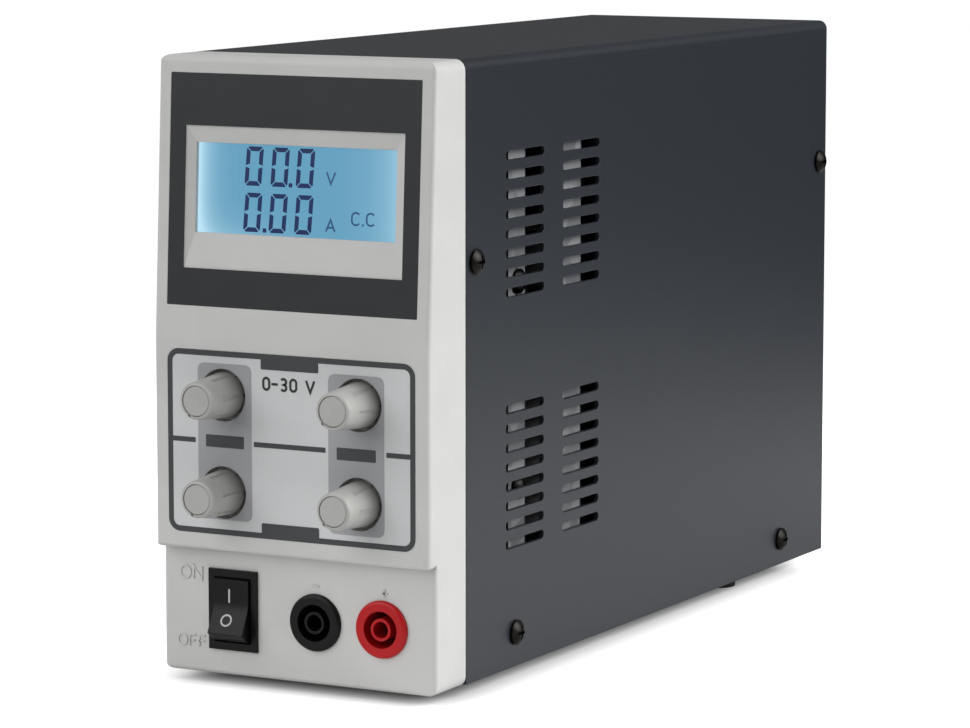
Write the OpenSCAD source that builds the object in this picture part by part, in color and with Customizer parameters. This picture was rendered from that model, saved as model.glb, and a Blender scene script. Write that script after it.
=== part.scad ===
// Bench power supply in a narrow upright case: a moulded front bezel with display and controls,
// a folded sheet-metal case with vents, a rear fan and inlet, and the electronics inside.
// Every piece is drawn in the case's own frame: X to the right, Y to the rear from the joint
// between bezel and cover, Z up from the cover's lower edge. in_case() then stands it on its feet.

/* [Case] */
// Width over the two sides of the cover
case_w = 81; // [80:0.5:88]
// Height of the cover above its lower edge
case_h = 160; // [159:0.5:170]
// Depth of the cover behind the front bezel
case_d = 228; // [224:1:250]
// Thickness of the painted steel sheet of the cover
cover_t = 1.2; // [0.8:0.1:1.4]
// Outside radius of the two long bends of the cover
cover_bend_r = 2.5; // [1.6:0.1:3.5]
// Thickness of the galvanised sheet of the parts inside
sheet_t = 1; // [0.8:0.1:1.2]
// Clearance between sheet parts that slide into each other
sheet_gap = 0.3; // [0.2:0.05:0.4]
// Height of the folded edges of the chassis
flange_h = 18; // [14:0.5:19]

/* [Vents] */
// Length of one slot with its round ends
vent_len = 21.5; // [14:0.5:24]
// Height of one slot
vent_h = 2.4; // [1.4:0.1:3]
// Distance from row to row
vent_pitch = 5.08; // [4.4:0.02:5.3]
// Rows in each group
vent_rows = 8; // [4:1:8]
// Distance of the first column from the bezel
vent_start = 22; // [18:0.5:26]
// Distance from column to column
vent_column_pitch = 32.3; // [26:0.1:36]
// Height of the lowest row of the lower group
vent_low_z = 32.7; // [28:0.1:36]
// Height of the lowest row of the upper group
vent_high_z = 98.6; // [90:0.1:104]

/* [Front bezel] */
// Depth of the lower block in front of the case
block_depth = 15.5; // [14:0.1:17]
// Height of the lower block
block_h = 32.5; // [31:0.25:34]
// Depth of the control section in front of the case
panel_depth = 19.1; // [18.5:0.1:21]
// Height at which the front starts to lean back
lean_z = 87; // [86:0.5:90]
// Angle by which the display section leans back
lean_deg = 3.1; // [1:0.1:4]
// Wall of the bezel moulding
bezel_t = 2.2; // [1.8:0.1:2.6]
// Radius of the bezel's upright edges
edge_r = 1.1; // [0.6:0.1:2.5]
// Radius of the bezel's lower level edges
rim_r = 1.2; // [0.8:0.1:1.6]
// Radius of the bezel's top edge
top_r = 2.1; // [1:0.1:2.4]
// Radius of the lower corners of the control section as seen from the front
lap_r = 1.5; // [0.8:0.1:2]
// Radius of the bezel's four corners as seen from the front
corner_r = 2.8; // [1.2:0.1:3.2]
// Distance by which the bezel reaches below the case
bezel_drop = 0.5; // [0.1:0.1:1]
// Depth of the rim that reaches into the cover
spigot_len = 10; // [8.5:0.5:11]

/* [Display] */
// Thickness of the printed sheets on the front
label_t = 0.3; // [0.2:0.05:0.5]
// Distance of the dark sheet from the bezel's sides
display_label_side = 3.7; // [3.4:0.1:5.5]
// Distance of the dark sheet's lower edge from the bend
display_label_low = 8.9; // [6:0.1:12]
// Distance of the dark sheet's upper edge from the bezel's top
display_label_top = 4.5; // [3.6:0.1:6]
// Width of the dark sheet beside the window
window_side = 4.6; // [4:0.1:6]
// Height of the dark sheet below the window
window_below = 9.7; // [8.5:0.1:11]
// Height of the dark sheet above the window
window_above = 13.4; // [12:0.1:15]
// Width of the window's bevels at the sides
window_cheek = 2.8; // [2.4:0.1:3.6]
// Width of the window's upper bevel
window_head = 4.3; // [3.6:0.1:5]
// Width of the window's lower bevel
window_sill = 9.2; // [8:0.1:10]
// Depth of the bevel
bevel_depth = 1.2; // [0.8:0.1:1.5]
// Thickness of the display's glass cell
glass_t = 2.8; // [2:0.1:3.2]
// Thickness of the light guide behind the glass
light_t = 4; // [3:0.1:4.5]

/* [Controls] */
// Distance of the control sheet from the bezel's sides
control_label_side = 4; // [3.4:0.1:5]
// Lower edge of the control sheet
control_label_low = 37; // [36:0.1:38]
// Height of the control sheet
control_label_h = 47.7; // [46:0.1:48.5]
// Distance of the knobs' middles from the bezel's sides
knob_side = 20.5; // [19.5:0.1:21.5]
// Distance between the two rows of knobs
knob_pitch_z = 25.3; // [24:0.1:26]
// Height of the lower row of knobs
knob_low_z = 48; // [47:0.1:49]
// Radius of the well round each knob
well_r = 6.85; // [6.8:0.05:7.2]
// Radius of the knob at its foot
knob_foot_r = 5.9; // [5.5:0.05:6.3]
// Radius of the knob at its tip
knob_tip_r = 4.85; // [4.6:0.05:5.1]
// Length of the knob in front of the panel
knob_len = 13; // [11:0.25:15]
// Radius of the round cap in the knob's tip
cap_r = 3.9; // [3.6:0.05:4]
// Short grooves round the knob
knob_grooves = 6; // [4:1:10]
// Radius of the potentiometer's spindle
spindle_r = 3; // [2.9:0.05:3.1]
// Radial running clearance of turning parts
run_gap = 0.05; // [0.02:0.01:0.08]

/* [Switch] */
// Width of the switch's flange
switch_w = 14.5; // [14.3:0.1:16]
// Height of the switch's flange
switch_h = 21.2; // [20.5:0.1:22]
// Distance of the switch's middle from the bezel's left side
switch_side = 21.3; // [20.5:0.1:22.5]
// Height of the switch's middle
switch_z = 16.8; // [16:0.1:17.5]
// Angle of each half of the rocker
rocker_deg = 13.5; // [10:0.5:14]

/* [Output sockets] */
// Radius of the insulated flange
socket_flange_r = 7.5; // [7.2:0.1:8]
// Radius of the hole for a four millimetre plug
socket_bore_r = 2; // [1.95:0.01:2.1]
// Distance of the right socket's middle from the bezel's right side
socket_side = 15.7; // [15:0.1:17]
// Distance between the two sockets
socket_pitch = 19.5; // [19:0.1:20]
// Height of the sockets
socket_z = 15.7; // [15:0.1:17]

/* [Rear] */
// Side of the square fan
fan_w = 60; // [58:0.5:62]
// Depth of the fan
fan_t = 20; // [18:0.5:22]
// Distance between the fan's fixing holes
fan_pitch = 50; // [49:0.1:51]
// Height of the fan's middle
fan_z = 112; // [108:0.5:118]
// Blades of the fan
fan_blades = 7; // [5:1:7]
// Thickness of the wire of the fan guard
guard_wire = 1.8; // [1.4:0.1:2.2]
// Height of the middle of the mains inlet
inlet_z = 38; // [36:0.5:42]

/* [Feet and screws] */
// Height of the rubber feet
foot_h = 3.5; // [3:0.1:4]
// Radius of the rubber feet
foot_r = 5; // [4.5:0.1:5.5]
// Distance of the rear feet's middles from the case's sides
foot_side = 9.5; // [9:0.1:10]
// Distance by which the front feet stand further in
foot_inset = 9; // [8.5:0.1:10]
// Distance of the front feet from the bezel
foot_front_y = 28; // [24:0.5:32]
// Distance of the rear feet from the case's rear end
foot_rear_gap = 53.4; // [50:0.2:58]
// Radius of the machine screws' thread
screw_r = 1.5; // [1.4:0.05:1.6]
// Radius of the screws' pan heads
head_r = 3.3; // [3:0.1:3.4]
// Height of the pan heads
head_h = 2.2; // [1.8:0.1:2.3]

/* [Hidden] */
$fn = 48;
eps = 0.01;
// Small gap between curved or painted parts that meet without touching
seat_gap = 0.3;
// Clearance round a screw in its hole
screw_gap = 0.15;

// Faces of the sheet parts, measured from the middle plane
cover_inner_x = case_w / 2 - cover_t;
chassis_x = cover_inner_x - sheet_gap;
cover_inner_z = case_h - cover_t;
chassis_front_y = spigot_len + sheet_gap;
panel_inset = 1.5;
panel_t = cover_t;
panel_y = case_d - panel_inset;
panel_low_z = sheet_t + sheet_gap;
chassis_rear_y = panel_y - panel_t;
// Side plates: bright sheet seen through the vents
plate_gap = 2.8;
plate_x = cover_inner_x - plate_gap;
plate_front_y = vent_start + 8.9;
plate_top_z = 142;
plate_foot_w = 10;
plate_window_shift = 18.2;
plate_window_margin = 4.5;
vent_group_h = (vent_rows - 1) * vent_pitch;

// Leaning display section
lean_tan = tan(lean_deg);
lean_len = (case_h - lean_z) / cos(lean_deg);
display_label_r = 0.3;
display_label_w = case_w - 2 * display_label_side;
display_label_h = lean_len - display_label_low - display_label_top;
window_w = display_label_w - 2 * window_side;
window_low = display_label_low + window_below;
window_h = display_label_h - window_below - window_above;
glass_show_w = window_w - 2 * window_cheek;
glass_show_h = window_h - window_sill - window_head;
glass_v = bezel_t;
light_v = glass_v + glass_t;
display_board_v = light_v + light_t;
display_board_t = 1.6;
glass_margin = 2;
glass_w = glass_show_w + 2 * glass_margin;
glass_h = glass_show_h + 2 * glass_margin;
glass_low = window_low + window_sill - glass_margin;
board_post_r = 2.9;
board_post_wall_gap = 1.8;
board_post_x = case_w / 2 - bezel_t - board_post_r - board_post_wall_gap;
board_post_low = display_label_low + 6.6;
board_post_high = display_label_low + display_label_h - 10;
board_edge = 3.4;
display_screw_r = 1.1;
display_screw_len = 5;
display_screw_head_r = 2.2;
display_screw_head_h = 1.5;
display_screw_hole_r = display_screw_r + screw_gap;

// Controls
knob_pitch_x = case_w - 2 * knob_side;
control_label_w = case_w - 2 * control_label_side;
well_floor_y = -panel_depth + 4.1;
well_floor_t = 2;
well_wall = 1.5;
pot_w = 10;
pot_h = 12;
pot_t = 6.5;
bushing_r = 3.6;
bushing_len = 6.2;
pot_front_y = well_floor_y + well_floor_t;
control_board_y = pot_front_y + pot_t;
board_t = 1.6;
nut_across = 9.6;
pot_nut_t = 2;
knob_foot_y = -panel_depth + 0.8;
knob_tip_y = -panel_depth - knob_len;
knob_full = knob_foot_y - knob_tip_y;
cap_t = 1.2;
cap_pocket = 1.3;
spindle_sunk = 3;
spindle_tip_y = knob_tip_y + 3.2;
spindle_flat = 1.5;

// Switch: pivot behind the flange, rocker shown with its upper half pressed in
switch_x = case_w / 2 - switch_side;
switch_flange_t = 0.8;
switch_body_w = switch_w - 1.6;
switch_body_h = switch_h - 1.8;
switch_body_d = 14;
rocker_w = switch_w - 4.1;
rocker_gap = 0.2;
rocker_end_r = switch_h / 2 - 1.9;
rocker_end_gap = 0.15;
rocker_lip = 0.1;
rocker_waist = 3.5;
pivot_depth = 2.6;
pivot_r = 1.1;
switch_front_y = -block_depth - switch_flange_t;
pivot_y = switch_front_y + pivot_depth;
rocker_skirt = 3;

// Sockets
red_socket_x = case_w / 2 - socket_side;
black_socket_x = red_socket_x - socket_pitch;
socket_flange_t = 1.2;
socket_flange_round = 1;
socket_sleeve_r = 6;
socket_body_len = 20;
shroud_r = 4.8;
shroud_depth = 14;
core_r = 2.9;
contact_r = 2.4;
contact_sunk = 7.5;
contact_len = 19.5;
plug_gap = 0.15;
contact_bore_len = 16;
socket_nut_across = 15;
socket_nut_t = 3;

// Rear
fan_duct_r = fan_w / 2 - 1.5;
fan_hub_r = 13.5;
fan_corner_r = 4;
fan_tip_gap = 0.9;
fan_hole_r = 2.15;
fan_flange_t = 3.5;
fan_bearing_r = 13;
fan_bearing_t = 3;
fan_shaft_r = 1.5;
fan_back_y = chassis_rear_y;
fan_screw_len = 14;
fan_screw_head_r = 3.4;
fan_screw_head_h = 2;
guard_ring_gap = 7;
guard_rings = 4;
guard_eye_r = 4;
inlet_w = 50;
inlet_h = 31;
inlet_flange_t = 3;
inlet_body_w = 27.6;
inlet_body_h = 27.6;
inlet_body_d = 24;
inlet_cavity_w = 24.4;
inlet_cavity_h = 16.4;
inlet_cavity_z = 4.6;
inlet_cavity_d = 17;
inlet_corner = 4.5;
inlet_screw_pitch = 40;
inlet_screw_len = 8;
inlet_screw_head_r = 2.8;
inlet_screw_head_h = 1.6;
pin_spread = 14;
pin_rise = 4;
pin_w = 2;
pin_h = 4;
pin_len = 13;
drawer_z = -9;
drawer_w = 18.6;
drawer_h = 6.4;
drawer_d = 24;
drawer_gap = 0.3;
drawer_face_t = 1.6;
drawer_face_w = 21;
drawer_face_h = 8.4;
fuse_r = 2.55;
fuse_len = 20;
inlet_rear_y = panel_y + inlet_flange_t;
rear_reach = inlet_rear_y + drawer_face_t;
front_reach = panel_depth + knob_len;
case_y = (front_reach - rear_reach) / 2;

// Screws of the cover: distance from the bezel and height
cover_screw_rear_gap = 31;
cover_screw_end_gap = 5.1;
cover_screws_at = [[5.4, 108.4], [27.5, 9], [case_d - cover_screw_rear_gap, 7.6],
    [case_d - cover_screw_end_gap, 118.2]];
cover_screw_len = 6;
plate_screw_len = 6;
foot_head_r = 2.8;
foot_screw_len = 6;
// Feet: distance from the middle and from the bezel, and the sheets between foot and nut
foot_rear_x = case_w / 2 - foot_side;
feet_at = [[foot_rear_x - foot_inset, foot_front_y, 1], [foot_rear_x, case_d - foot_rear_gap, 2]];
bezel_screw_z = 27;
bezel_screw_len = 9;
bezel_ear_w = 9;
bezel_screw_x = chassis_x - bezel_ear_w / 2 - 1;
bezel_ear_h = bezel_screw_z + 4.5;

// Electronics: the heatsinks end before the fan, the board ends before the inlet
sink_fan_gap = 17.3;
sink_front_y = plate_front_y + 2;
sink_rear_y = chassis_rear_y - fan_t - sink_fan_gap;
sink_low_z = 24;
sink_high_z = 112;
sink_base_t = 3;
sink_fin_t = 1.4;
sink_fins = 7;
sink_fin_pitch = 7;
sink_x = plate_x - sheet_t;
plate_rear_y = sink_rear_y + 2;
plate_screw_inset = 5.1;
plate_screw_end = 8;
plate_screw_zs = [100.3, 46];
plate_screws_at = [for (y = [plate_front_y + plate_screw_inset, plate_rear_y - plate_screw_end],
    z = plate_screw_zs) [y, z]];
board_z = 9;
board_side_gap = 2.5;
board_inlet_gap = 6.5;
board_w = 2 * (sink_x - board_side_gap);
board_front_y = 34;
board_rear_y = panel_y - inlet_body_d - board_inlet_gap;
board_len = board_rear_y - board_front_y;
board_top_z = board_z + board_t;
standoff_r = 2.8;
standoff_inset = 8;
standoff_side = 13;
standoff_x = board_w / 2 - standoff_side;
// Rows of parts along the board, as shares of its length
bulk_share = 0.136;
transformer_share = 0.383;
choke_share = 0.599;
output_shares = [0.765, 0.889];
transistor_shares = [0.136, 0.309, 0.481];
transistor_t = 4.8;
transistor_w = 15.6;
transistor_h = 20;
transistor_low_z = 36;
lead_t = 0.6;
lead_w = 1.2;
lead_pitch = 5.4;
core_w = 36;
core_d = 20;
core_h = 36;
core_leg = 6;
core_lift = 4;
bobbin_r = 13.5;
bobbin_w = 24;
bobbin_d = 30;
bobbin_flange_t = 1.4;
bobbin_pin_r = 1;
sink_core_gap = 3.5;
sink_fin_len = sink_x - sink_base_t - core_w / 2 - sink_core_gap;
bulk_cap_r = 10;
bulk_cap_h = 34;
output_cap_r = 8;
output_cap_h = 28;
cap_pair_gap = 1;
choke_r = 9;
choke_wire_r = 5.4;

// Place along the board at a share of its length
function along_board(share) = board_front_y + share * board_len;

// Stands a piece of the case's frame on its feet, with the whole box centred on the origin
module in_case() {
    translate([0, case_y, foot_h]) children();
}

// Local frame on the front: X right, Y up, Z towards the viewer
module at_front(x, y, z) {
    translate([x, y, z]) rotate([90, 0, 0]) children();
}

// Local frame on a side wall: Z points outwards
module at_side(side, x, y, z) {
    translate([side * x, y, z]) rotate([0, side * 90, 0]) children();
}

// Local frame of the leaning display section: Y is the depth behind its face, Z runs up it
module at_display() {
    translate([0, -panel_depth, lean_z]) rotate([-lean_deg, 0, 0]) children();
}

// Extrudes a side view, drawn with X to the rear and Y up, across the width
module across(width) {
    translate([-width / 2, 0, 0]) rotate([90, 0, 90]) linear_extrude(width) children();
}

// Extrudes a front view, drawn with X right and Y up, from one depth to another
module along(front_y, rear_y) {
    translate([0, rear_y, 0]) rotate([90, 0, 0]) linear_extrude(rear_y - front_y) children();
}

// Rectangle with round corners, centred
module rounded_rect(w, h, r) {
    square([w, h - 2 * r], center = true);
    square([w - 2 * r, h], center = true);
    for (sx = [-1, 1], sy = [-1, 1])
        translate([sx * (w / 2 - r), sy * (h / 2 - r)]) circle(r);
}

// Slot with round ends along X, centred
module slot_shape(len, h) {
    square([len - h, h], center = true);
    for (s = [-1, 1]) translate([s * (len - h) / 2, 0]) circle(h / 2);
}

// Inverted U with round upper corners, open below
module u_outline(half_w, top_z, r) {
    translate([-half_w, 0]) square([2 * half_w, top_z - r]);
    translate([-half_w + r, 0]) square([2 * (half_w - r), top_z]);
    for (s = [-1, 1]) translate([s * (half_w - r), top_z - r]) circle(r);
}

// Points of an arc round a centre
function arc_points(c, r, from, to, n) =
    [for (i = [0:n]) let (a = from + (to - from) * i / n) c + r * [cos(a), sin(a)]];

// Pan-head screw: the head's seat lies at Z = 0, the shank runs down
module pan_screw(len, shank_r = screw_r, head_r = head_r, head_h = head_h) {
    rim = head_h * 0.35;
    dome = head_h - rim;
    sphere_r = (head_r * head_r + dome * dome) / (2 * dome);
    difference() {
        union() {
            cylinder(r = head_r, h = rim);
            intersection() {
                translate([0, 0, head_h - sphere_r]) sphere(sphere_r);
                translate([0, 0, rim]) cylinder(r = head_r, h = dome);
            }
        }
        for (a = [0, 90]) rotate(a)
            translate([-head_r * 0.55, -head_r * 0.11, head_h * 0.45])
                cube([head_r * 1.1, head_r * 0.22, head_h]);
    }
    translate([0, 0, -len]) cylinder(r = shank_r, h = len);
}

// Hexagonal nut standing on Z = 0
module hex_nut(across, t, hole_r) {
    difference() {
        cylinder(r = across / 2 / cos(30), h = t, $fn = 6);
        translate([0, 0, -eps]) cylinder(r = hole_r, h = t + 2 * eps);
    }
}

// Case: folded sheet parts

// Lower tray with folded sides and two ears at the front
module chassis() in_case() color("silver") {
    bend = 1.5 * sheet_t;
    difference() {
        union() {
            along(chassis_front_y, chassis_rear_y) difference() {
                translate([0, flange_h]) mirror([0, 1]) u_outline(chassis_x, flange_h, bend);
                translate([0, flange_h + sheet_t]) mirror([0, 1])
                    u_outline(chassis_x - sheet_t, flange_h, bend - sheet_t);
            }
            for (s = [-1, 1])
                translate([s * bezel_screw_x - bezel_ear_w / 2, chassis_front_y, 0])
                    cube([bezel_ear_w, sheet_t, bezel_ear_h]);
        }
        for (p = cover_screws_at, s = [-1, 1])
            at_side(s, chassis_x - 2 * sheet_t, p[0], p[1])
                cylinder(r = screw_r + screw_gap, h = 4 * sheet_t);
        for (s = [-1, 1]) {
            at_front(s * bezel_screw_x, chassis_front_y + 2 * sheet_t, bezel_screw_z)
                cylinder(r = screw_r + screw_gap, h = 4 * sheet_t);
            for (p = feet_at)
                translate([s * p[0], p[1], -eps])
                    cylinder(r = screw_r + screw_gap, h = sheet_t + 2 * eps);
        }
    }
}

// Rows and columns of vent slots, drawn with X to the rear and Y up
module vent_pattern() {
    for (low = [vent_low_z, vent_high_z], column = [0, 1], row = [0:vent_rows - 1])
        translate([vent_start + vent_len / 2 + column * vent_column_pitch, low + row * vent_pitch])
            slot_shape(vent_len, vent_h);
}

// Painted cover: top and both sides in one folded sheet
module cover() in_case() color("#3f4348") {
    difference() {
        along(sheet_gap, case_d) difference() {
            u_outline(case_w / 2, case_h, cover_bend_r);
            translate([0, -eps]) u_outline(cover_inner_x, cover_inner_z + eps, cover_bend_r - cover_t);
        }
        across(case_w + 2) vent_pattern();
        for (p = cover_screws_at, s = [-1, 1])
            at_side(s, cover_inner_x - 1, p[0], p[1])
                cylinder(r = screw_r + screw_gap, h = cover_t + 2);
    }
}

// Rear panel with folded edges, the fan's outlet and the inlet's cut-out
module rear_panel() in_case() color("#3f4348") {
    top_z = cover_inner_z - sheet_gap;
    mid_z = (panel_low_z + top_z) / 2;
    flange_d = 12;
    side_low_z = flange_h + sheet_gap;
    side_top_z = top_z - 8;
    difference() {
        union() {
            along(chassis_rear_y, panel_y) translate([0, mid_z])
                rounded_rect(2 * chassis_x, top_z - panel_low_z, 1);
            for (s = [-1, 1])
                translate([s * (chassis_x - panel_t / 2), chassis_rear_y - flange_d / 2 + eps,
                    (side_low_z + side_top_z) / 2])
                    cube([panel_t, flange_d, side_top_z - side_low_z], center = true);
            translate([-chassis_x + flange_d, chassis_rear_y - flange_d, sheet_t])
                cube([2 * (chassis_x - flange_d), flange_d + panel_t, panel_t]);
        }
        along(chassis_rear_y - 1, panel_y + 1) translate([0, fan_z]) {
            circle(fan_duct_r - 0.5);
            for (sx = [-1, 1], sz = [-1, 1])
                translate([sx * fan_pitch / 2, sz * fan_pitch / 2]) circle(fan_hole_r);
        }
        along(chassis_rear_y - 1, panel_y + 1) translate([0, inlet_z]) {
            rounded_rect(inlet_body_w + 2 * sheet_gap, inlet_body_h + 2 * sheet_gap, 1);
            for (s = [-1, 1]) translate([s * inlet_screw_pitch / 2, 0]) circle(screw_r + screw_gap);
        }
        for (s = [-1, 1]) at_side(s, chassis_x - panel_t - 1, cover_screws_at[3][0], cover_screws_at[3][1])
            cylinder(r = screw_r + screw_gap, h = panel_t + 2);
    }
}

// Bright side plate with a folded foot and top edge and four tall windows
module side_plate(side) in_case() color("gainsboro") {
    window_w = vent_len + 0.5;
    window_h = vent_group_h + vent_h + plate_window_margin;
    difference() {
        mirror([side < 0 ? 1 : 0, 0, 0]) along(plate_front_y, plate_rear_y) {
            translate([plate_x - sheet_t, sheet_t]) square([sheet_t, plate_top_z - sheet_t]);
            translate([plate_x - plate_foot_w, sheet_t]) square([plate_foot_w, sheet_t]);
            translate([plate_x - plate_foot_w, plate_top_z - sheet_t]) square([plate_foot_w, sheet_t]);
        }
        for (low = [vent_low_z, vent_high_z], column = [0, 1])
            at_side(side, plate_x - sheet_t - 1,
                vent_start + plate_window_shift + window_w / 2 + column * vent_column_pitch,
                low + vent_group_h / 2 - 1.3)
                linear_extrude(sheet_t + 2) rounded_rect(window_h, window_w, 2);
        for (p = plate_screws_at) at_side(side, plate_x - sheet_t - 1, p[0], p[1])
            cylinder(r = screw_r + screw_gap, h = sheet_t + 2);
        translate([side * foot_rear_x, case_d - foot_rear_gap, 0])
            cylinder(r = screw_r + screw_gap, h = 3 * sheet_t);
    }
}

module right_side_plate() side_plate(1);
module left_side_plate() side_plate(-1);

// Front bezel

// Side view of the bezel's outside, with round level edges and a soft bend to the leaning part
function bezel_profile() = concat(
    [[0, -bezel_drop]],
    arc_points([-block_depth + rim_r, rim_r - bezel_drop], rim_r, 270, 180, 6),
    [[-block_depth, block_h]],
    arc_points([-panel_depth + rim_r, block_h + rim_r], rim_r, 270, 180, 6),
    [[-panel_depth, lean_z]],
    arc_points([-panel_depth + (case_h - top_r - lean_z) * lean_tan + top_r / cos(lean_deg), case_h - top_r],
        top_r, 180 - lean_deg, 90, 8),
    [[0, case_h]]);

// Side view of the hollow inside the bezel, open to the rear
function hollow_profile() = [
    [1, bezel_t],
    [-block_depth + bezel_t, bezel_t],
    [-block_depth + bezel_t, block_h + bezel_t],
    [-panel_depth + bezel_t, block_h + bezel_t],
    [-panel_depth + bezel_t, lean_z - bezel_t * tan(lean_deg / 2)],
    [-panel_depth + bezel_t / cos(lean_deg) + (case_h - bezel_t - lean_z) * lean_tan, case_h - bezel_t],
    [1, case_h - bezel_t]];

// Front view of the bezel with round corners
function front_outline(half_w, low, high, r) = concat(
    arc_points([half_w - r, high - r], r, 0, 90, 6),
    arc_points([-half_w + r, high - r], r, 90, 180, 6),
    arc_points([-half_w + r, low + r], r, 180, 270, 6),
    arc_points([half_w - r, low + r], r, 270, 360, 6));

// View from above of a stretch of the bezel: round front edges, and some length to be cut off behind
module front_plan(depth) {
    spare = 5;
    translate([-case_w / 2, -depth + edge_r]) square([case_w, depth - edge_r + spare]);
    translate([-case_w / 2 + edge_r, -depth]) square([case_w - 2 * edge_r, depth + spare]);
    for (s = [-1, 1]) translate([s * (case_w / 2 - edge_r), -depth + edge_r]) rotate(90) circle(edge_r);
}

// Outside of the bezel: a lower block, and above it an upright prism cut by a leaning one,
// all with round upright edges, then cut to the side view and the front view
module bezel_outside() {
    overlap = 5;
    intersection() {
        union() {
            translate([0, 0, -overlap]) linear_extrude(block_h + 2 * overlap) front_plan(block_depth);
            intersection() {
                translate([0, 0, block_h]) linear_extrude(case_h - block_h + overlap) front_plan(panel_depth);
                at_display() translate([0, panel_depth, block_h - lean_z - overlap])
                    linear_extrude(case_h - block_h + 3 * overlap) front_plan(panel_depth);
                union() {
                    along(-2 * panel_depth, -block_depth)
                        polygon(front_outline(case_w / 2, block_h, case_h + 2 * overlap, lap_r));
                    along(-block_depth - eps, 2 * overlap) translate([0, (block_h + case_h) / 2 + overlap])
                        square([case_w, case_h - block_h + 2 * overlap], center = true);
                }
            }
        }
        across(case_w + 2) polygon(bezel_profile());
        along(-2 * panel_depth, 1) polygon(front_outline(case_w / 2, -bezel_drop, case_h, corner_r));
    }
}

// Positions of the four knobs
knob_xs = [-knob_pitch_x / 2, knob_pitch_x / 2];
knob_zs = [knob_low_z, knob_low_z + knob_pitch_z];

// Bevelled window, with its lower bevel wider than the others
module window_cut() {
    low = window_low + window_sill;
    far = bezel_t + 1;
    // Slope of each bevel: run along the face for each millimetre of depth
    side = (window_w - glass_show_w) / 2 / (bevel_depth - label_t);
    sill = window_sill / (bevel_depth - label_t);
    head = (window_h - window_sill - glass_show_h) / (bevel_depth - label_t);
    intersection() {
        translate([0, 0, window_low - 2 * sill]) linear_extrude(window_h + 4 * sill) polygon([
            [-window_w / 2 - side * (label_t + 1), -1], [window_w / 2 + side * (label_t + 1), -1],
            [glass_show_w / 2, bevel_depth], [-glass_show_w / 2, bevel_depth]]);
        across(window_w + 20)
            polygon([[-1, window_low - sill * (label_t + 1)], [bevel_depth, low],
                [bevel_depth, low + glass_show_h],
                [-1, window_low + window_h + head * (label_t + 1)]]);
    }
    translate([-glass_show_w / 2, bevel_depth - eps, low]) cube([glass_show_w, far, glass_show_h]);
}

module front_bezel() in_case() color("#bdbdbb") {
    rail = 1.4;
    spigot_x = cover_inner_x - sheet_gap;
    spigot_t = 1.8;
    spigot_z = sheet_t + 0.5;
    spigot_h = cover_inner_z - sheet_gap - spigot_z;
    boss_r = 3.4;
    difference() {
        union() {
            difference() {
                bezel_outside();
                across(case_w - 2 * bezel_t) polygon(hollow_profile());
            }
            // Rim that reaches into the cover
            along(-4, spigot_len) translate([0, spigot_z + spigot_h / 2]) difference() {
                rounded_rect(2 * spigot_x, spigot_h, 1);
                rounded_rect(2 * (spigot_x - spigot_t), spigot_h - 2 * spigot_t, 0.5);
            }
            // Wells round the knobs
            for (x = knob_xs, z = knob_zs)
                along(-panel_depth + bezel_t / 2, well_floor_y + well_floor_t)
                    translate([x, z]) circle(well_r + well_wall);
            // Seat and posts of the display
            at_display() {
                translate([0, bezel_t / 2, glass_low + glass_h / 2]) rotate([-90, 0, 0])
                    linear_extrude(glass_v + glass_t - bezel_t / 2) difference() {
                        square([glass_w + 2 * seat_gap + 2 * rail, glass_h + 2 * seat_gap + 2 * rail],
                            center = true);
                        square([glass_w + 2 * seat_gap, glass_h + 2 * seat_gap], center = true);
                    }
                for (x = [-board_post_x, board_post_x], z = [board_post_low, board_post_high])
                    translate([x, bezel_t / 2, z]) rotate([-90, 0, 0])
                        cylinder(r = board_post_r, h = display_board_v - bezel_t / 2);
            }
            // Columns for the screws from the chassis, with a web to each side wall
            for (s = [-1, 1]) {
                along(-block_depth + bezel_t / 2, chassis_front_y)
                    translate([s * bezel_screw_x, bezel_screw_z]) circle(boss_r);
                translate([s * (bezel_screw_x + spigot_x) / 2, (spigot_len - block_depth + bezel_t) / 2,
                    bezel_screw_z])
                    cube([spigot_x - bezel_screw_x, spigot_len + block_depth - bezel_t, rail], center = true);
            }
            // Pads inside the rim for the cover's front screws
            for (s = [-1, 1])
                at_side(s, spigot_x - 6, cover_screws_at[0][0], cover_screws_at[0][1])
                    cylinder(r = boss_r, h = 5);
        }
        for (x = knob_xs, z = knob_zs) {
            along(-panel_depth - 1, well_floor_y) translate([x, z]) circle(well_r);
            along(-panel_depth, 0) translate([x, z]) circle(bushing_r + screw_gap);
        }
        at_display() {
            window_cut();
            translate([0, label_t, display_label_low + display_label_h / 2]) rotate([90, 0, 0])
                linear_extrude(2) rounded_rect(display_label_w, display_label_h, display_label_r);
            for (x = [-board_post_x, board_post_x], z = [board_post_low, board_post_high])
                translate([x, bezel_t, z]) rotate([-90, 0, 0])
                    cylinder(r = display_screw_hole_r, h = display_board_v);
        }
        along(-panel_depth - 1, -panel_depth + label_t)
            translate([0, control_label_low + control_label_h / 2])
                rounded_rect(control_label_w, control_label_h, 3);
        along(-block_depth - 1, -block_depth + bezel_t + 1) {
            translate([-switch_x, switch_z])
                square([switch_body_w + 2 * screw_gap, switch_body_h + 2 * screw_gap], center = true);
            for (x = [black_socket_x, red_socket_x])
                translate([x, socket_z]) circle(socket_sleeve_r + screw_gap);
        }
        for (s = [-1, 1]) {
            along(chassis_front_y - bezel_screw_len - 1, chassis_front_y + 1)
                translate([s * bezel_screw_x, bezel_screw_z]) circle(screw_r + screw_gap);
            at_side(s, spigot_x - 7, cover_screws_at[0][0], cover_screws_at[0][1])
                cylinder(r = screw_r + screw_gap, h = 10);
        }
    }
}

// Printed sheets on the front

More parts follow.
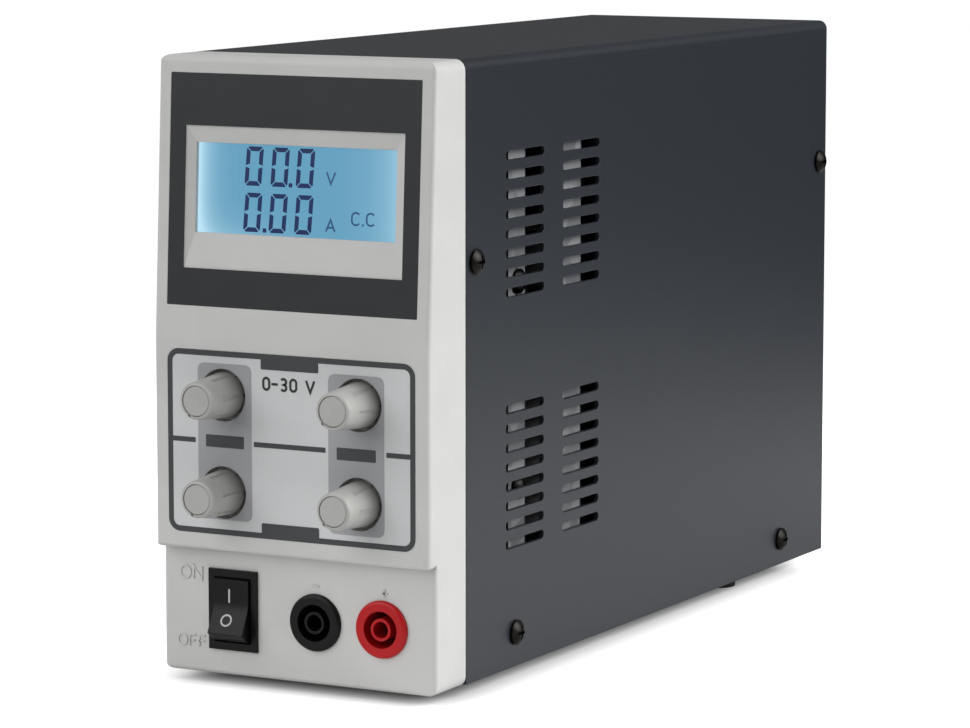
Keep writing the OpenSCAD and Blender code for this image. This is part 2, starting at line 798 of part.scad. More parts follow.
module display_label() in_case() color("#383a3c") at_display() {
    middle = window_low + window_h / 2 - display_label_low - display_label_h / 2;
    translate([0, label_t, display_label_low + display_label_h / 2]) rotate([90, 0, 0])
        linear_extrude(label_t) difference() {
            rounded_rect(display_label_w, display_label_h, display_label_r);
            translate([0, middle]) square([window_w, window_h], center = true);
        }
}

module control_label() in_case() color("#b8babb") {
    along(-panel_depth, -panel_depth + label_t) difference() {
        translate([0, control_label_low + control_label_h / 2])
            rounded_rect(control_label_w, control_label_h, 3);
        for (x = knob_xs, z = knob_zs) translate([x, z]) circle(well_r);
    }
}

// Display

module display_glass() in_case() color("#7ab0d0") at_display() {
    translate([-glass_w / 2, glass_v, glass_low]) cube([glass_w, glass_t, glass_h]);
}

module display_light() in_case() color("#e8f0f4") at_display() {
    lip = 1;
    translate([-glass_w / 2, light_v, glass_low]) difference() {
        cube([glass_w, light_t, glass_h]);
        translate([lip, light_t - lip, lip]) cube([glass_w - 2 * lip, light_t, glass_h - 2 * lip]);
    }
}

module display_board() in_case() color("#1f6b3a") at_display() {
    w = 2 * (board_post_x + board_edge);
    low = board_post_low - board_edge;
    high = board_post_high + board_edge;
    chips = [[-14, 0, 14, 10], [12, 4, 10, 10], [20, -12, 7, 5]];
    difference() {
        translate([-w / 2, display_board_v, low]) cube([w, display_board_t, high - low]);
        for (x = [-board_post_x, board_post_x], z = [board_post_low, board_post_high])
            translate([x, display_board_v - 1, z]) rotate([-90, 0, 0])
                cylinder(r = display_screw_hole_r + screw_gap, h = display_board_t + 2);
    }
    for (c = chips)
        translate([c[0] - c[2] / 2, display_board_v + display_board_t - eps,
            (low + high) / 2 + c[1] - c[3] / 2])
            cube([c[2], 1.6, c[3]]);
}

module display_screws() in_case() color("silver") at_display() {
    for (x = [-board_post_x, board_post_x], z = [board_post_low, board_post_high])
        translate([x, display_board_v + display_board_t, z]) rotate([-90, 0, 0])
            pan_screw(display_screw_len, display_screw_r, display_screw_head_r, display_screw_head_h);
}

// Controls

module control_board() in_case() color("#1f6b3a") {
    margin = 9;
    difference() {
        along(control_board_y, control_board_y + board_t)
            translate([0, knob_low_z + knob_pitch_z / 2])
                rounded_rect(knob_pitch_x + 2 * margin, knob_pitch_z + 2 * margin, 1.5);
        for (s = [-1, 1]) along(control_board_y - 1, control_board_y + board_t + 1)
            translate([s * knob_pitch_x / 4, knob_low_z + knob_pitch_z / 2]) circle(1.6);
    }
}

// Potentiometers with threaded bushings that pass through the wells' floors
module potentiometers() in_case() color("#2e5d8c") {
    chamfer = 1;
    for (x = knob_xs, z = knob_zs) difference() {
        union() {
            along(pot_front_y, control_board_y) translate([x, z - 1])
                polygon([[-pot_w / 2, -pot_h / 2], [pot_w / 2, -pot_h / 2],
                    [pot_w / 2, pot_h / 2 - chamfer], [pot_w / 2 - chamfer, pot_h / 2],
                    [-pot_w / 2 + chamfer, pot_h / 2], [-pot_w / 2, pot_h / 2 - chamfer]]);
            along(pot_front_y - bushing_len, pot_front_y + 1) translate([x, z]) circle(bushing_r);
        }
        along(pot_front_y - bushing_len - 1, pot_front_y + spindle_sunk)
            translate([x, z]) circle(spindle_r + run_gap);
    }
}

module spindle_at(x, z) in_case() color("silver") {
    at_front(x, pot_front_y + spindle_sunk - seat_gap, z) difference() {
        cylinder(r = spindle_r, h = pot_front_y + spindle_sunk - seat_gap - spindle_tip_y);
        translate([-spindle_r, spindle_flat, pot_front_y + spindle_sunk - seat_gap - spindle_tip_y - 7])
            cube([2 * spindle_r, spindle_r, 8]);
    }
}

// Tapered push-on knob: a revolved body with a round foot and tip, hollow behind, with short grooves
// that start deep behind a smooth collar and run out towards the foot
module knob_at(x, z, turn) in_case() color("#bcbcb6") {
    tip_round = 0.8;
    hollow_r = 4.7;
    hollow_d = pot_nut_t + 2.2;
    groove_r = 0.8;
    groove_len = 7.8;
    groove_foot = 1.4;
    groove_deep = 0.7;
    slope = (knob_foot_r - knob_tip_r) / knob_full;
    notch_at = 240;
    at_front(x, knob_foot_y, z) difference() {
        rotate_extrude() polygon(concat(
            [[0, 0], [knob_foot_r, 0]],
            arc_points([knob_tip_r - tip_round, knob_full - tip_round], tip_round, 0, 90, 5),
            [[0, knob_full]]));
        translate([0, 0, -1]) cylinder(r = hollow_r, h = hollow_d + 1);
        difference() {
            cylinder(r = spindle_r + run_gap, h = knob_foot_y - spindle_tip_y + seat_gap);
            translate([-spindle_r - 1, spindle_flat + run_gap, hollow_d])
                cube([2 * spindle_r + 2, spindle_r, knob_full]);
        }
        translate([0, 0, knob_full - cap_pocket]) cylinder(r = cap_r + 0.1, h = cap_pocket + 1);
        for (i = [0:knob_grooves - 1]) rotate(turn + i * 360 / knob_grooves)
            translate([knob_foot_r - slope * groove_foot + groove_r - 0.1, 0, groove_foot])
                rotate([0, -atan(slope + (groove_deep - 0.1) / groove_len), 0])
                    cylinder(r = groove_r, h = groove_len);
        rotate(turn + notch_at) translate([cap_r + 0.3, 0, knob_full]) cube([1, 0.9, 1.4], center = true);
    }
}

module cap_at(x, z) in_case() color("#c4c4be") {
    at_front(x, knob_tip_y + cap_pocket, z) {
        cylinder(r = cap_r, h = cap_t - 0.2);
        translate([0, 0, cap_t - 0.2]) cylinder(r1 = cap_r, r2 = cap_r - 0.2, h = 0.2);
    }
}

left_x = knob_xs[0];
right_x = knob_xs[1];
low_row = knob_zs[0];
high_row = knob_zs[1];
module voltage_fine_spindle() spindle_at(left_x, high_row);
module voltage_coarse_spindle() spindle_at(right_x, high_row);
module current_fine_spindle() spindle_at(left_x, low_row);
module current_coarse_spindle() spindle_at(right_x, low_row);
module voltage_fine_knob() knob_at(left_x, high_row, 4);
module voltage_coarse_knob() knob_at(right_x, high_row, -10);
module current_fine_knob() knob_at(left_x, low_row, 12);
module current_coarse_knob() knob_at(right_x, low_row, -6);
module voltage_fine_cap() cap_at(left_x, high_row);
module voltage_coarse_cap() cap_at(right_x, high_row);
module current_fine_cap() cap_at(left_x, low_row);
module current_coarse_cap() cap_at(right_x, low_row);

module pot_nuts() in_case() color("silver") {
    for (x = knob_xs, z = knob_zs)
        at_front(x, well_floor_y, z) hex_nut(nut_across, pot_nut_t, bushing_r + screw_gap);
}

// Switch

module switch_body() in_case() color("#1f1e1d") {
    cavity_h = 2 * (rocker_end_r + rocker_end_gap);
    floor_t = 1.5;
    difference() {
        union() {
            along(switch_front_y, -block_depth) translate([-switch_x, switch_z])
                square([switch_w, switch_h], center = true);
            along(-block_depth - eps, -block_depth + switch_body_d) translate([-switch_x, switch_z])
                square([switch_body_w, switch_body_h], center = true);
        }
        // Opening in the flange, and behind it the taller chamber in which the rocker tips
        along(switch_front_y - 1, pivot_y) translate([-switch_x, switch_z])
            square([rocker_w + 2 * rocker_gap, 2 * (rocker_end_r - rocker_lip)], center = true);
        along(-block_depth, -block_depth + switch_body_d - floor_t) translate([-switch_x, switch_z])
            square([rocker_w + 2 * rocker_gap, cavity_h], center = true);
        translate([-switch_x, pivot_y, switch_z]) rotate([0, 90, 0])
            cylinder(r = pivot_r + run_gap, h = rocker_w + 1.7, center = true);
        for (dz = [-5.5, 0, 5.5])
            along(-block_depth + 1, -block_depth + switch_body_d + 1) translate([-switch_x, switch_z + dz])
                square([4.8 + 2 * run_gap, 0.8 + 2 * run_gap], center = true);
    }
}

// Rocker: side view with round ends about the pivot, and two flat halves joined by a hollow curve
module switch_rocker() in_case() color("#242322") {
    face = rocker_end_r * 1.2;
    curve_r = 8;
    curve_y = -rocker_waist - curve_r / cos(rocker_deg);
    tip_y = -rocker_waist - face * sin(rocker_deg);
    tip_z = face * cos(rocker_deg);
    translate([-switch_x, pivot_y, switch_z]) rotate([-rocker_deg, 0, 0]) {
        across(rocker_w) intersection() {
            circle(rocker_end_r);
            polygon(concat([[tip_y, tip_z]], arc_points([curve_y, 0], curve_r, rocker_deg, -rocker_deg, 10),
                [[tip_y, -tip_z], [rocker_skirt - 1, -face], [rocker_skirt, 0], [rocker_skirt - 1, face]]));
        }
        rotate([0, 90, 0]) cylinder(r = pivot_r, h = rocker_w + 1.4, center = true);
    }
}

module switch_terminals() in_case() color("gold") {
    blade_len = 9;
    for (dz = [-5.5, 0, 5.5])
        translate([-switch_x, -block_depth + switch_body_d - 1.5 + blade_len / 2, switch_z + dz])
        difference() {
            cube([4.8, blade_len, 0.8], center = true);
            translate([0, blade_len / 2 - 2, -1]) cylinder(r = 0.9, h = 2);
        }
}

// Output sockets

module socket_at(x, tint) in_case() color(tint) {
    flat = 0.8;
    mouth_z = socket_flange_t - contact_sunk;
    at_front(x, -block_depth, socket_z) difference() {
        union() {
            rotate_extrude() polygon(concat([[0, 0], [socket_flange_r, 0]],
                arc_points([socket_flange_r - socket_flange_round, socket_flange_t - socket_flange_round],
                    socket_flange_round, 0, 90, 5),
                [[0, socket_flange_t]]));
            translate([0, 0, -socket_body_len]) difference() {
                cylinder(r = socket_sleeve_r, h = socket_body_len + eps);
                for (s = [-1, 1]) translate([s * (2 * socket_sleeve_r - flat), 0, 0])
                    cube([2 * socket_sleeve_r, 4 * socket_sleeve_r, 2 * (socket_body_len - 8)],
                        center = true);
            }
        }
        // Ring-shaped hollow round the insulated core
        translate([0, 0, socket_flange_t - shroud_depth]) difference() {
            cylinder(r = shroud_r, h = shroud_depth + 1);
            translate([0, 0, -1]) cylinder(r = core_r, h = shroud_depth + 1 - 0.3);
        }
        // Bore for the contact, and the narrower mouth in front of it
        translate([0, 0, -socket_body_len - 1])
            cylinder(r = contact_r + screw_gap, h = socket_body_len + 1 + mouth_z);
        translate([0, 0, mouth_z - 1]) cylinder(r = socket_bore_r + plug_gap, h = contact_sunk + 2);
    }
}

// Turned contact with a blind bore for the plug and a solder end behind
module contact_at(x) in_case() color("gold") {
    shoulder = 1.2;
    at_front(x, -block_depth, socket_z) translate([0, 0, socket_flange_t - contact_sunk]) rotate([180, 0, 0])
        difference() {
            union() {
                cylinder(r = contact_r, h = contact_len);
                translate([0, 0, socket_body_len + socket_flange_t - contact_sunk])
                    cylinder(r = contact_r + 0.9, h = shoulder);
            }
            translate([0, 0, -1]) cylinder(r = socket_bore_r, h = contact_bore_len + 1);
        }
}

module black_socket() socket_at(black_socket_x, "#1f1e1d");
module red_socket() socket_at(red_socket_x, "#b01c24");
module black_contact() contact_at(black_socket_x);
module red_contact() contact_at(red_socket_x);

module socket_nuts() in_case() color("silver") {
    for (x = [black_socket_x, red_socket_x])
        at_front(x, -block_depth + bezel_t + socket_nut_t, socket_z)
            hex_nut(socket_nut_across, socket_nut_t, socket_sleeve_r + screw_gap);
}

// Fasteners and feet

module cover_screws() in_case() color("#1c1c1c") {
    for (p = cover_screws_at, s = [-1, 1]) at_side(s, case_w / 2, p[0], p[1]) pan_screw(cover_screw_len);
}

module plate_screws() in_case() color("#5a5a56") {
    for (p = plate_screws_at, s = [-1, 1]) at_side(s, plate_x, p[0], p[1]) pan_screw(plate_screw_len);
}

module bezel_screws() in_case() color("silver") {
    for (s = [-1, 1]) translate([s * bezel_screw_x, chassis_front_y + sheet_t, bezel_screw_z])
        rotate([-90, 0, 0]) pan_screw(bezel_screw_len);
}

module feet() in_case() color("#151515") {
    taper = 0.3;
    recess_r = foot_head_r + 0.2;
    for (s = [-1, 1], p = feet_at)
        translate([s * p[0], p[1], -foot_h]) difference() {
            cylinder(r1 = foot_r - taper, r2 = foot_r, h = foot_h);
            translate([0, 0, -1]) cylinder(r = recess_r, h = foot_h);
            cylinder(r = screw_r + screw_gap, h = foot_h + 1);
        }
}

module foot_screws() in_case() color("silver") {
    for (s = [-1, 1], p = feet_at)
        translate([s * p[0], p[1], -1]) rotate([180, 0, 0])
            pan_screw(foot_screw_len + (p[2] - 1) * sheet_t, screw_r, foot_head_r, 1.9);
}

module foot_nuts() in_case() color("silver") {
    for (s = [-1, 1], p = feet_at)
        translate([s * p[0], p[1], p[2] * sheet_t]) hex_nut(5.5, 2.4, screw_r + screw_gap);
}

// Fan

module fan_frame() in_case() color("#1a1a1a") {
    inner = fan_duct_r;
    ring_r = fan_w / 2 - 0.2;
    difference() {
        union() {
            for (y = [fan_back_y - fan_flange_t, fan_back_y - fan_t])
                along(y, y + fan_flange_t) translate([0, fan_z]) rounded_rect(fan_w, fan_w, fan_corner_r);
            along(fan_back_y - fan_t, fan_back_y) translate([0, fan_z]) circle(ring_r);
        }
        along(fan_back_y - fan_t - 1, fan_back_y + 1) translate([0, fan_z]) {
            circle(inner);
            for (sx = [-1, 1], sz = [-1, 1])
                translate([sx * fan_pitch / 2, sz * fan_pitch / 2]) circle(fan_hole_r);
        }
    }
    // Motor seat carried by four struts
    difference() {
        along(fan_back_y - fan_bearing_t, fan_back_y) translate([0, fan_z]) {
            circle(fan_bearing_r);
            for (a = [45:90:315]) rotate(a) translate([inner / 2 + 3, 0])
                square([inner - 4, 3], center = true);
        }
        along(fan_back_y - fan_bearing_t - 1, fan_back_y - 0.8) translate([0, fan_z])
            circle(fan_shaft_r + run_gap);
    }
}

// Hub cup with a shaft and cambered blades, each cut from a tube laid along the blade's radius
module fan_rotor() in_case() color("#262626") {
    hub_front = fan_back_y - fan_t + 1;
    hub_rear = fan_back_y - fan_bearing_t - 0.5;
    blade_front = hub_front + 1;
    blade_rear = hub_rear - 0.5;
    chord = blade_rear - blade_front;
    camber_r = 16;
    blade_t = 1.1;
    pitch_deg = 48;
    difference() {
        along(hub_front, hub_rear) translate([0, fan_z]) circle(fan_hub_r);
        along(hub_front + 1.5, hub_rear + 1) translate([0, fan_z]) circle(fan_hub_r - 1.5);
    }
    along(hub_front + 1, fan_back_y - 1.1) translate([0, fan_z]) circle(fan_shaft_r);
    intersection() {
        along(blade_front, blade_rear) translate([0, fan_z]) difference() {
            circle(fan_duct_r - fan_tip_gap);
            circle(fan_hub_r - 0.4);
        }
        translate([0, (blade_front + blade_rear) / 2, fan_z]) rotate([90, 0, 0])
            for (i = [0:fan_blades - 1]) rotate(i * 360 / fan_blades) rotate([pitch_deg, 0, 0])
                translate([fan_hub_r - 2, 0, 0]) rotate([0, 90, 0]) translate([-camber_r, 0, 0])
                    linear_extrude(fan_duct_r - fan_hub_r + 4) intersection() {
                        difference() {
                            circle(camber_r);
                            circle(camber_r - blade_t);
                        }
                        translate([0, -chord]) square([camber_r + 1, 2 * chord]);
                    }
    }
}

// Wire guard: rings welded on four spokes that end in flat eyes on the panel
module fan_guard() in_case() color("silver") {
    wire_r = guard_wire / 2;
    spoke_r = 0.9 * wire_r;
    weld = 0.3;
    reach = fan_pitch / 2 * sqrt(2);
    inner_end = 0.9 * guard_ring_gap;
    translate([0, panel_y, fan_z]) rotate([-90, 0, 0]) {
        translate([0, 0, 2 * wire_r + spoke_r - weld])
            for (i = [1:guard_rings]) rotate_extrude() translate([i * guard_ring_gap, 0]) circle(wire_r);
        for (a = [45:90:315]) rotate(a) {
            translate([inner_end, 0, wire_r]) rotate([0, 90, 0])
                cylinder(r = spoke_r, h = reach - guard_eye_r - inner_end + 1);
            translate([reach, 0, 0]) difference() {
                cylinder(r = guard_eye_r, h = guard_wire);
                translate([0, 0, -1]) cylinder(r = fan_hole_r, h = guard_wire + 2);
            }
        }
    }
}

module fan_screws() in_case() color("silver") {
    for (sx = [-1, 1], sz = [-1, 1])
        translate([sx * fan_pitch / 2, panel_y + guard_wire, fan_z + sz * fan_pitch / 2])
            rotate([-90, 0, 0])
                pan_screw(fan_screw_len, fan_hole_r - screw_gap, fan_screw_head_r, fan_screw_head_h);
}

// Mains inlet

module inlet_housing() in_case() color("#1c1c1c") {
    half_w = inlet_cavity_w / 2;
    half_h = inlet_cavity_h / 2;
    difference() {
        union() {
            along(panel_y, inlet_rear_y) translate([0, inlet_z]) rounded_rect(inlet_w, inlet_h, 3);
            along(panel_y - inlet_body_d, panel_y + eps) translate([0, inlet_z])
                rounded_rect(inlet_body_w, inlet_body_h, 0.8);
        }
        along(inlet_rear_y - inlet_cavity_d, inlet_rear_y + 1) translate([0, inlet_z + inlet_cavity_z])
            polygon([[-half_w, -half_h], [half_w, -half_h], [half_w, half_h - inlet_corner],
                [half_w - inlet_corner, half_h], [-half_w + inlet_corner, half_h],
                [-half_w, half_h - inlet_corner]]);
        along(inlet_rear_y - drawer_d - drawer_gap, inlet_rear_y + 1) translate([0, inlet_z + drawer_z])
            square([drawer_w + 2 * drawer_gap, drawer_h + 2 * drawer_gap], center = true);
        along(panel_y - inlet_body_d - 1, inlet_rear_y + 1) translate([0, inlet_z + inlet_cavity_z])
            inlet_pin_section(screw_gap / 3);
        along(panel_y - 1, inlet_rear_y + 1) translate([0, inlet_z])
            for (s = [-1, 1]) translate([s * inlet_screw_pitch / 2, 0]) circle(screw_r + screw_gap);
    }
}

// Three flat pins, the earth pin above the other two
module inlet_pin_section(grow) {
    for (p = [[-pin_spread / 2, -pin_rise / 2], [pin_spread / 2, -pin_rise / 2], [0, pin_rise / 2]])
        translate(p) square([pin_w + 2 * grow, pin_h + 2 * grow], center = true);
}

module inlet_pins() in_case() color("silver") {
    tail = 6;
    along(panel_y - inlet_body_d - tail, inlet_rear_y - inlet_cavity_d + pin_len)
        translate([0, inlet_z + inlet_cavity_z]) inlet_pin_section(0);
}

module fuse_drawer() in_case() color("#222222") {
    tray_wall = 1.2;
    translate([0, inlet_rear_y, inlet_z + drawer_z]) {
        difference() {
            translate([-drawer_w / 2, -drawer_d, -drawer_h / 2]) cube([drawer_w, drawer_d + eps, drawer_h]);
            translate([-drawer_w / 2 + tray_wall, -drawer_d + tray_wall, -drawer_h / 2 + 0.8])
                cube([drawer_w - 2 * tray_wall, drawer_d - 2 * tray_wall, drawer_h]);
        }
        difference() {
            translate([0, drawer_face_t / 2, 0]) cube([drawer_face_w, drawer_face_t, drawer_face_h],
                center = true);
            translate([0, drawer_face_t, 0]) cube([7, 1.4, 2], center = true);
        }
    }
}

module fuse() in_case() color("#d8d8d0") {
    cap_len = 5;
    translate([0, inlet_rear_y - drawer_d / 2 - fuse_len / 2,
        inlet_z + drawer_z - drawer_h / 2 + 0.8 + fuse_r])
        rotate([-90, 0, 0]) {
            cylinder(r = fuse_r - 0.15, h = fuse_len);
            for (z = [0, fuse_len - cap_len]) translate([0, 0, z]) cylinder(r = fuse_r, h = cap_len);
        }
}

module inlet_screws() in_case() color("#1c1c1c") {
    for (s = [-1, 1]) translate([s * inlet_screw_pitch / 2, inlet_rear_y, inlet_z])
        rotate([-90, 0, 0]) pan_screw(inlet_screw_len, screw_r, inlet_screw_head_r, inlet_screw_head_h);
}

// Electronics

module main_board() in_case() color("#1f6b3a") {
    difference() {
        translate([-board_w / 2, board_front_y, board_z])
            cube([board_w, board_rear_y - board_front_y, board_t]);
        for (s = [-1, 1], y = [board_front_y + standoff_inset, board_rear_y - standoff_inset])
            translate([s * standoff_x, y, board_z - 1]) cylinder(r = screw_r + screw_gap, h = board_t + 2);
    }
}

module board_standoffs() in_case() color("gold") {
    for (s = [-1, 1], y = [board_front_y + standoff_inset, board_rear_y - standoff_inset])
        translate([s * standoff_x, y, sheet_t]) {
            cylinder(r = standoff_r, h = board_z - sheet_t, $fn = 6);
            cylinder(r = screw_r, h = board_top_z - sheet_t + 1.2);
            translate([0, 0, board_top_z - sheet_t]) cylinder(r = standoff_r, h = 1.6);
        }
}

// Extruded heatsinks fixed to the side plates, with level fins that point inwards
module heatsinks() in_case() color("#2b2b2b") {
    for (s = [-1, 1]) difference() {
        mirror([s < 0 ? 1 : 0, 0, 0]) along(sink_front_y, sink_rear_y) {
            translate([sink_x - sink_base_t, sink_low_z]) square([sink_base_t, sink_high_z - sink_low_z]);
            for (i = [0:sink_fins - 1])
                translate([sink_x - sink_base_t - sink_fin_len,
                    sink_high_z - sink_fin_t - i * sink_fin_pitch])
                    square([sink_fin_len + eps, sink_fin_t]);
        }
        for (p = plate_screws_at) at_side(s, sink_x - sink_base_t - 1, p[0], p[1])
            cylinder(r = screw_r + screw_gap, h = sink_base_t + 2);
    }
}

module power_transistors() in_case() color("#222222") {
    lead_low = board_top_z;
    lead_high = transistor_low_z + 1;
    for (s = [-1, 1], share = transistor_shares)
        translate([s * (sink_x - sink_base_t - transistor_t / 2), along_board(share), 0]) {
            translate([0, 0, transistor_low_z + transistor_h / 2])
                cube([transistor_t, transistor_w, transistor_h], center = true);
            for (dy = [-lead_pitch, 0, lead_pitch]) translate([0, dy, (lead_low + lead_high) / 2])
                cube([lead_t, lead_w, lead_high - lead_low], center = true);
        }
}

// Ferrite transformer: a closed core round a wound bobbin that stands on pins
module transformer() in_case() color("#4a4a48") {
    inner_h = core_h - 2 * core_leg;
    flange_low = core_lift + core_leg;
    translate([0, along_board(transformer_share), board_top_z]) {
        difference() {
            translate([-core_w / 2, -core_d / 2, core_lift]) cube([core_w, core_d, core_h]);
            translate([-core_w / 2 + core_leg, -core_d, flange_low])
                cube([core_w - 2 * core_leg, 2 * core_d, inner_h]);
        }
        translate([0, 0, flange_low - eps]) cylinder(r = bobbin_r - 2, h = inner_h + 2 * eps);
        for (z = [flange_low, flange_low + inner_h - bobbin_flange_t])
            translate([-bobbin_w / 2, -bobbin_d / 2, z]) cube([bobbin_w, bobbin_d, bobbin_flange_t]);
        for (x = [-1, 1], y = [-1, 1])
            translate([x * (bobbin_w / 2 - 3), y * (bobbin_d / 2 - 3), 0])
                cylinder(r = bobbin_pin_r, h = flange_low + 1);
    }
}

// Two tall capacitors in front and four lower ones behind, each with a pressed cross in its top
module capacitors() in_case() color("#26303c") {
    rows = [for (share = output_shares) [share, output_cap_r, output_cap_h]];
    for (c = concat([[bulk_share, bulk_cap_r, bulk_cap_h]], rows), s = [-1, 1])
        translate([s * (c[1] + cap_pair_gap / 2), along_board(c[0]), board_top_z]) difference() {
            cylinder(r = c[1], h = c[2]);
            for (a = [0, 90]) rotate(a) translate([-c[1] * 0.7, -0.3, c[2] - 0.4]) cube([c[1] * 1.4, 0.6, 1]);
        }
}

module output_choke() in_case() color("#b87333") {
    translate([0, along_board(choke_share), board_top_z + choke_wire_r])
        rotate_extrude() translate([choke_r, 0]) circle(choke_wire_r);
}

chassis();
cover();
rear_panel();
right_side_plate();
left_side_plate();
front_bezel();
display_label();
control_label();
display_glass();
display_light();
display_board();
control_board();
potentiometers();
pot_nuts();
voltage_fine_spindle();
voltage_coarse_spindle();
current_fine_spindle();
current_coarse_spindle();
voltage_fine_knob();
voltage_coarse_knob();
current_fine_knob();
current_coarse_knob();
voltage_fine_cap();
voltage_coarse_cap();
current_fine_cap();
current_coarse_cap();
switch_body();
switch_rocker();
switch_terminals();
black_socket();
red_socket();
black_contact();
red_contact();
socket_nuts();
cover_screws();
plate_screws();
bezel_screws();
display_screws();
feet();
foot_screws();
foot_nuts();
fan_frame();
fan_rotor();
fan_guard();
fan_screws();
inlet_housing();
inlet_pins();
fuse_drawer();
fuse();
inlet_screws();
main_board();
board_standoffs();
heatsinks();
power_transistors();
transformer();
capacitors();
output_choke();
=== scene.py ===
"""Bench power supply: finishes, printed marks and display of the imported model, with a small studio."""
import math

import bmesh
import bpy
import numpy as np
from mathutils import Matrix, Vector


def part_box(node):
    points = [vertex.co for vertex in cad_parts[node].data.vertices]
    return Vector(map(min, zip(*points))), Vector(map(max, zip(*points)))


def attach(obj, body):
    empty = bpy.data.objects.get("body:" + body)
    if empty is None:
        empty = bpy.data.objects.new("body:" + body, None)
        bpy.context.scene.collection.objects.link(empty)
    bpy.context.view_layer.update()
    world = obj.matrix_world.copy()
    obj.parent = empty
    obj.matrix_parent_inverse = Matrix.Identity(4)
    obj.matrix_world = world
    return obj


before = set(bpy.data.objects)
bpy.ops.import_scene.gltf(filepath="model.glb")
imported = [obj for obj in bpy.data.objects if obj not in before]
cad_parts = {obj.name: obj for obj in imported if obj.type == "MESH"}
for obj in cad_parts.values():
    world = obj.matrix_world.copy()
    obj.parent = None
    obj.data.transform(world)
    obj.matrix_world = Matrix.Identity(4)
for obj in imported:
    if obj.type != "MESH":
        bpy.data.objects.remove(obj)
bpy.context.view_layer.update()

bl_info = {
    "name": "Bench Power Supply",
    "version": (1, 0, 0),
    "blender": (4, 5, 0),
    "location": "View3D > Sidebar > Bench Supply",
    "description": "Finishes, printed marks and display for a bench power supply",
    "category": "Object",
}

MM = 0.001

# Places on the front are in mm: x from the middle, z from the cover's lower edge, depth from the joint plane between
# bezel and cover, which lies one gap before the cover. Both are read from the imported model.
COVER_GAP = 0.3
JOINT_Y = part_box("cover")[0][1] / MM - COVER_GAP
BASE_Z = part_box("cover")[0][2] / MM
# How far the control face and the lower block stand before the joint plane
PANEL_DEPTH = 19.1
BLOCK_DEPTH = 15.5
# The height at which the display face starts to lean back, its angle, and how deep the display's glass lies in it
LEAN_Z = 87.0
LEAN = math.radians(3.1)
GLASS_SUNK = 2.2
# The knobs' places and the radius of their wells
KNOB_X = (-20.0, 20.0)
KNOB_Z = (48.0, 73.3)
WELL_R = 6.85
# The rocker's pivot, the angle of its halves, the depth of its waist and the radius of its hollow curve
PIVOT_Y, PIVOT_Z = -13.7, 16.8
ROCKER_X = -19.2
ROCKER_HALF = math.radians(13.5)
ROCKER_WAIST = 3.5
ROCKER_CURVE = 8.0

# Display figures: width, height, bar and slant; then for each row its height, its figures' left edges and its dot.
# Heights on the display run up the leaning face from its bend.
FIGURE_WIDE, FIGURE_TALL, FIGURE_BAR, FIGURE_SLANT = 5.0, 10.0, 1.18, 0.06
FIGURE_ROWS = ((40.3, (-15.6, -7.9, -0.45), -2.4), (28.5, (-15.75, -8.2, -0.65), -9.8))
# Letters: the letter, x, z, width and height
DISPLAY_LETTERS = (("V", 8.6, 41.6, 2.5, 3.0), ("A", 8.7, 29.6, 2.6, 3.0), ("C", 16.2, 31.6, 2.3, 3.1),
                   ("C", 20.5, 31.6, 2.3, 3.1))
LETTER_BAR = 0.48
LETTER_DOT = (19.15, 31.4, 19.7, 31.95, 0.1)
# A grey strip along the left edge of the glass: painted shadow of the window's wall
WALL_SHADOW_STRIP = ((-30.2, 27.8), (-29.5, 27.8), (-29.5, 51.0), (-30.2, 51.0))
# How far the crystal's marks lie above the glass, and how thick they are
MARK_LIFT, MARK_THICK = 0.02, 0.03
# Glow of the display: for the left and the right side the power by which it falls off and its strength; for the
# light low on the left the power upwards, the power across and the strength; and the margins of the lit part
GLOW_LEFT, GLOW_RIGHT, GLOW_FOOT = (20.0, 1.18), (10.0, 0.5), (6.0, 3.0, 0.45)
GLOW_MARGIN_X, GLOW_MARGIN_Z = 1.8, 2.0
# Control print: the frame's half width, lower and upper edge and corner; the two title plates; the three parts of
# the middle line; the two strips, each with its left, right, lower and upper edge; and their small plates
FRAME_HALF, FRAME_LOW, FRAME_HIGH, FRAME_CORNER = 36.5, 37.0, 84.7, 2.6
TITLE_PLATES = ((-8.5, 80.7, 8.5, 84.0), (-8.5, 37.7, 8.5, 41.0))
MIDDLE_LINE = (60.55, 61.85)
MIDDLE_PARTS = ((-36.2, -28.2), (-10.7, 10.5), (28.2, 36.2))
STRIPS = ((-27.4, -11.3, 40.9, 81.5), (11.3, 27.6, 39.9, 80.9))
STRIP_SPLIT, STRIP_CORNER = 60.65, 1.9
SMALL_PLATES = ((-19.35, 59.7), (19.45, 59.0))
SMALL_PLATE_HALF, SMALL_PLATE_TALL = 5.7, 3.2
RANGE_FIGURES = (("0", -7.75, 75.6, 1.75, 3.0), ("-", -5.35, 75.6, 1.9, 3.0), ("3", -2.55, 75.6, 1.6, 3.0),
                 ("0", 0.25, 75.6, 1.75, 3.0), ("V", 4.9, 75.6, 2.4, 3.0))
RANGE_BAR = 0.65
# Moulded marks on the lower block
BLOCK_MARKS = (("O", -35.3, 24.1, 3.0, 3.3), ("N", -31.3, 24.1, 2.5, 3.3),
               ("O", -36.2, 6.3, 2.6, 2.9), ("F", -32.7, 6.3, 1.9, 2.9), ("F", -29.8, 6.3, 1.9, 2.9),
               ("-", 4.4, 24.45, 2.0, 1.6), ("+", 24.5, 24.1, 1.9, 1.9))
BLOCK_BAR = 0.5
# Rocker marks, from the middle of the rocker's hollow: the bar's ends and width, the ring's place, radius and width
ROCKER_MARK_X = -0.5
ROCKER_BAR_ENDS, ROCKER_BAR_WIDE = (1.25, 4.85), 0.5
ROCKER_RING_AT, ROCKER_RING_R, ROCKER_RING_WIDE = -3.46, 1.45, 0.46
ROCKER_INK = 0.04

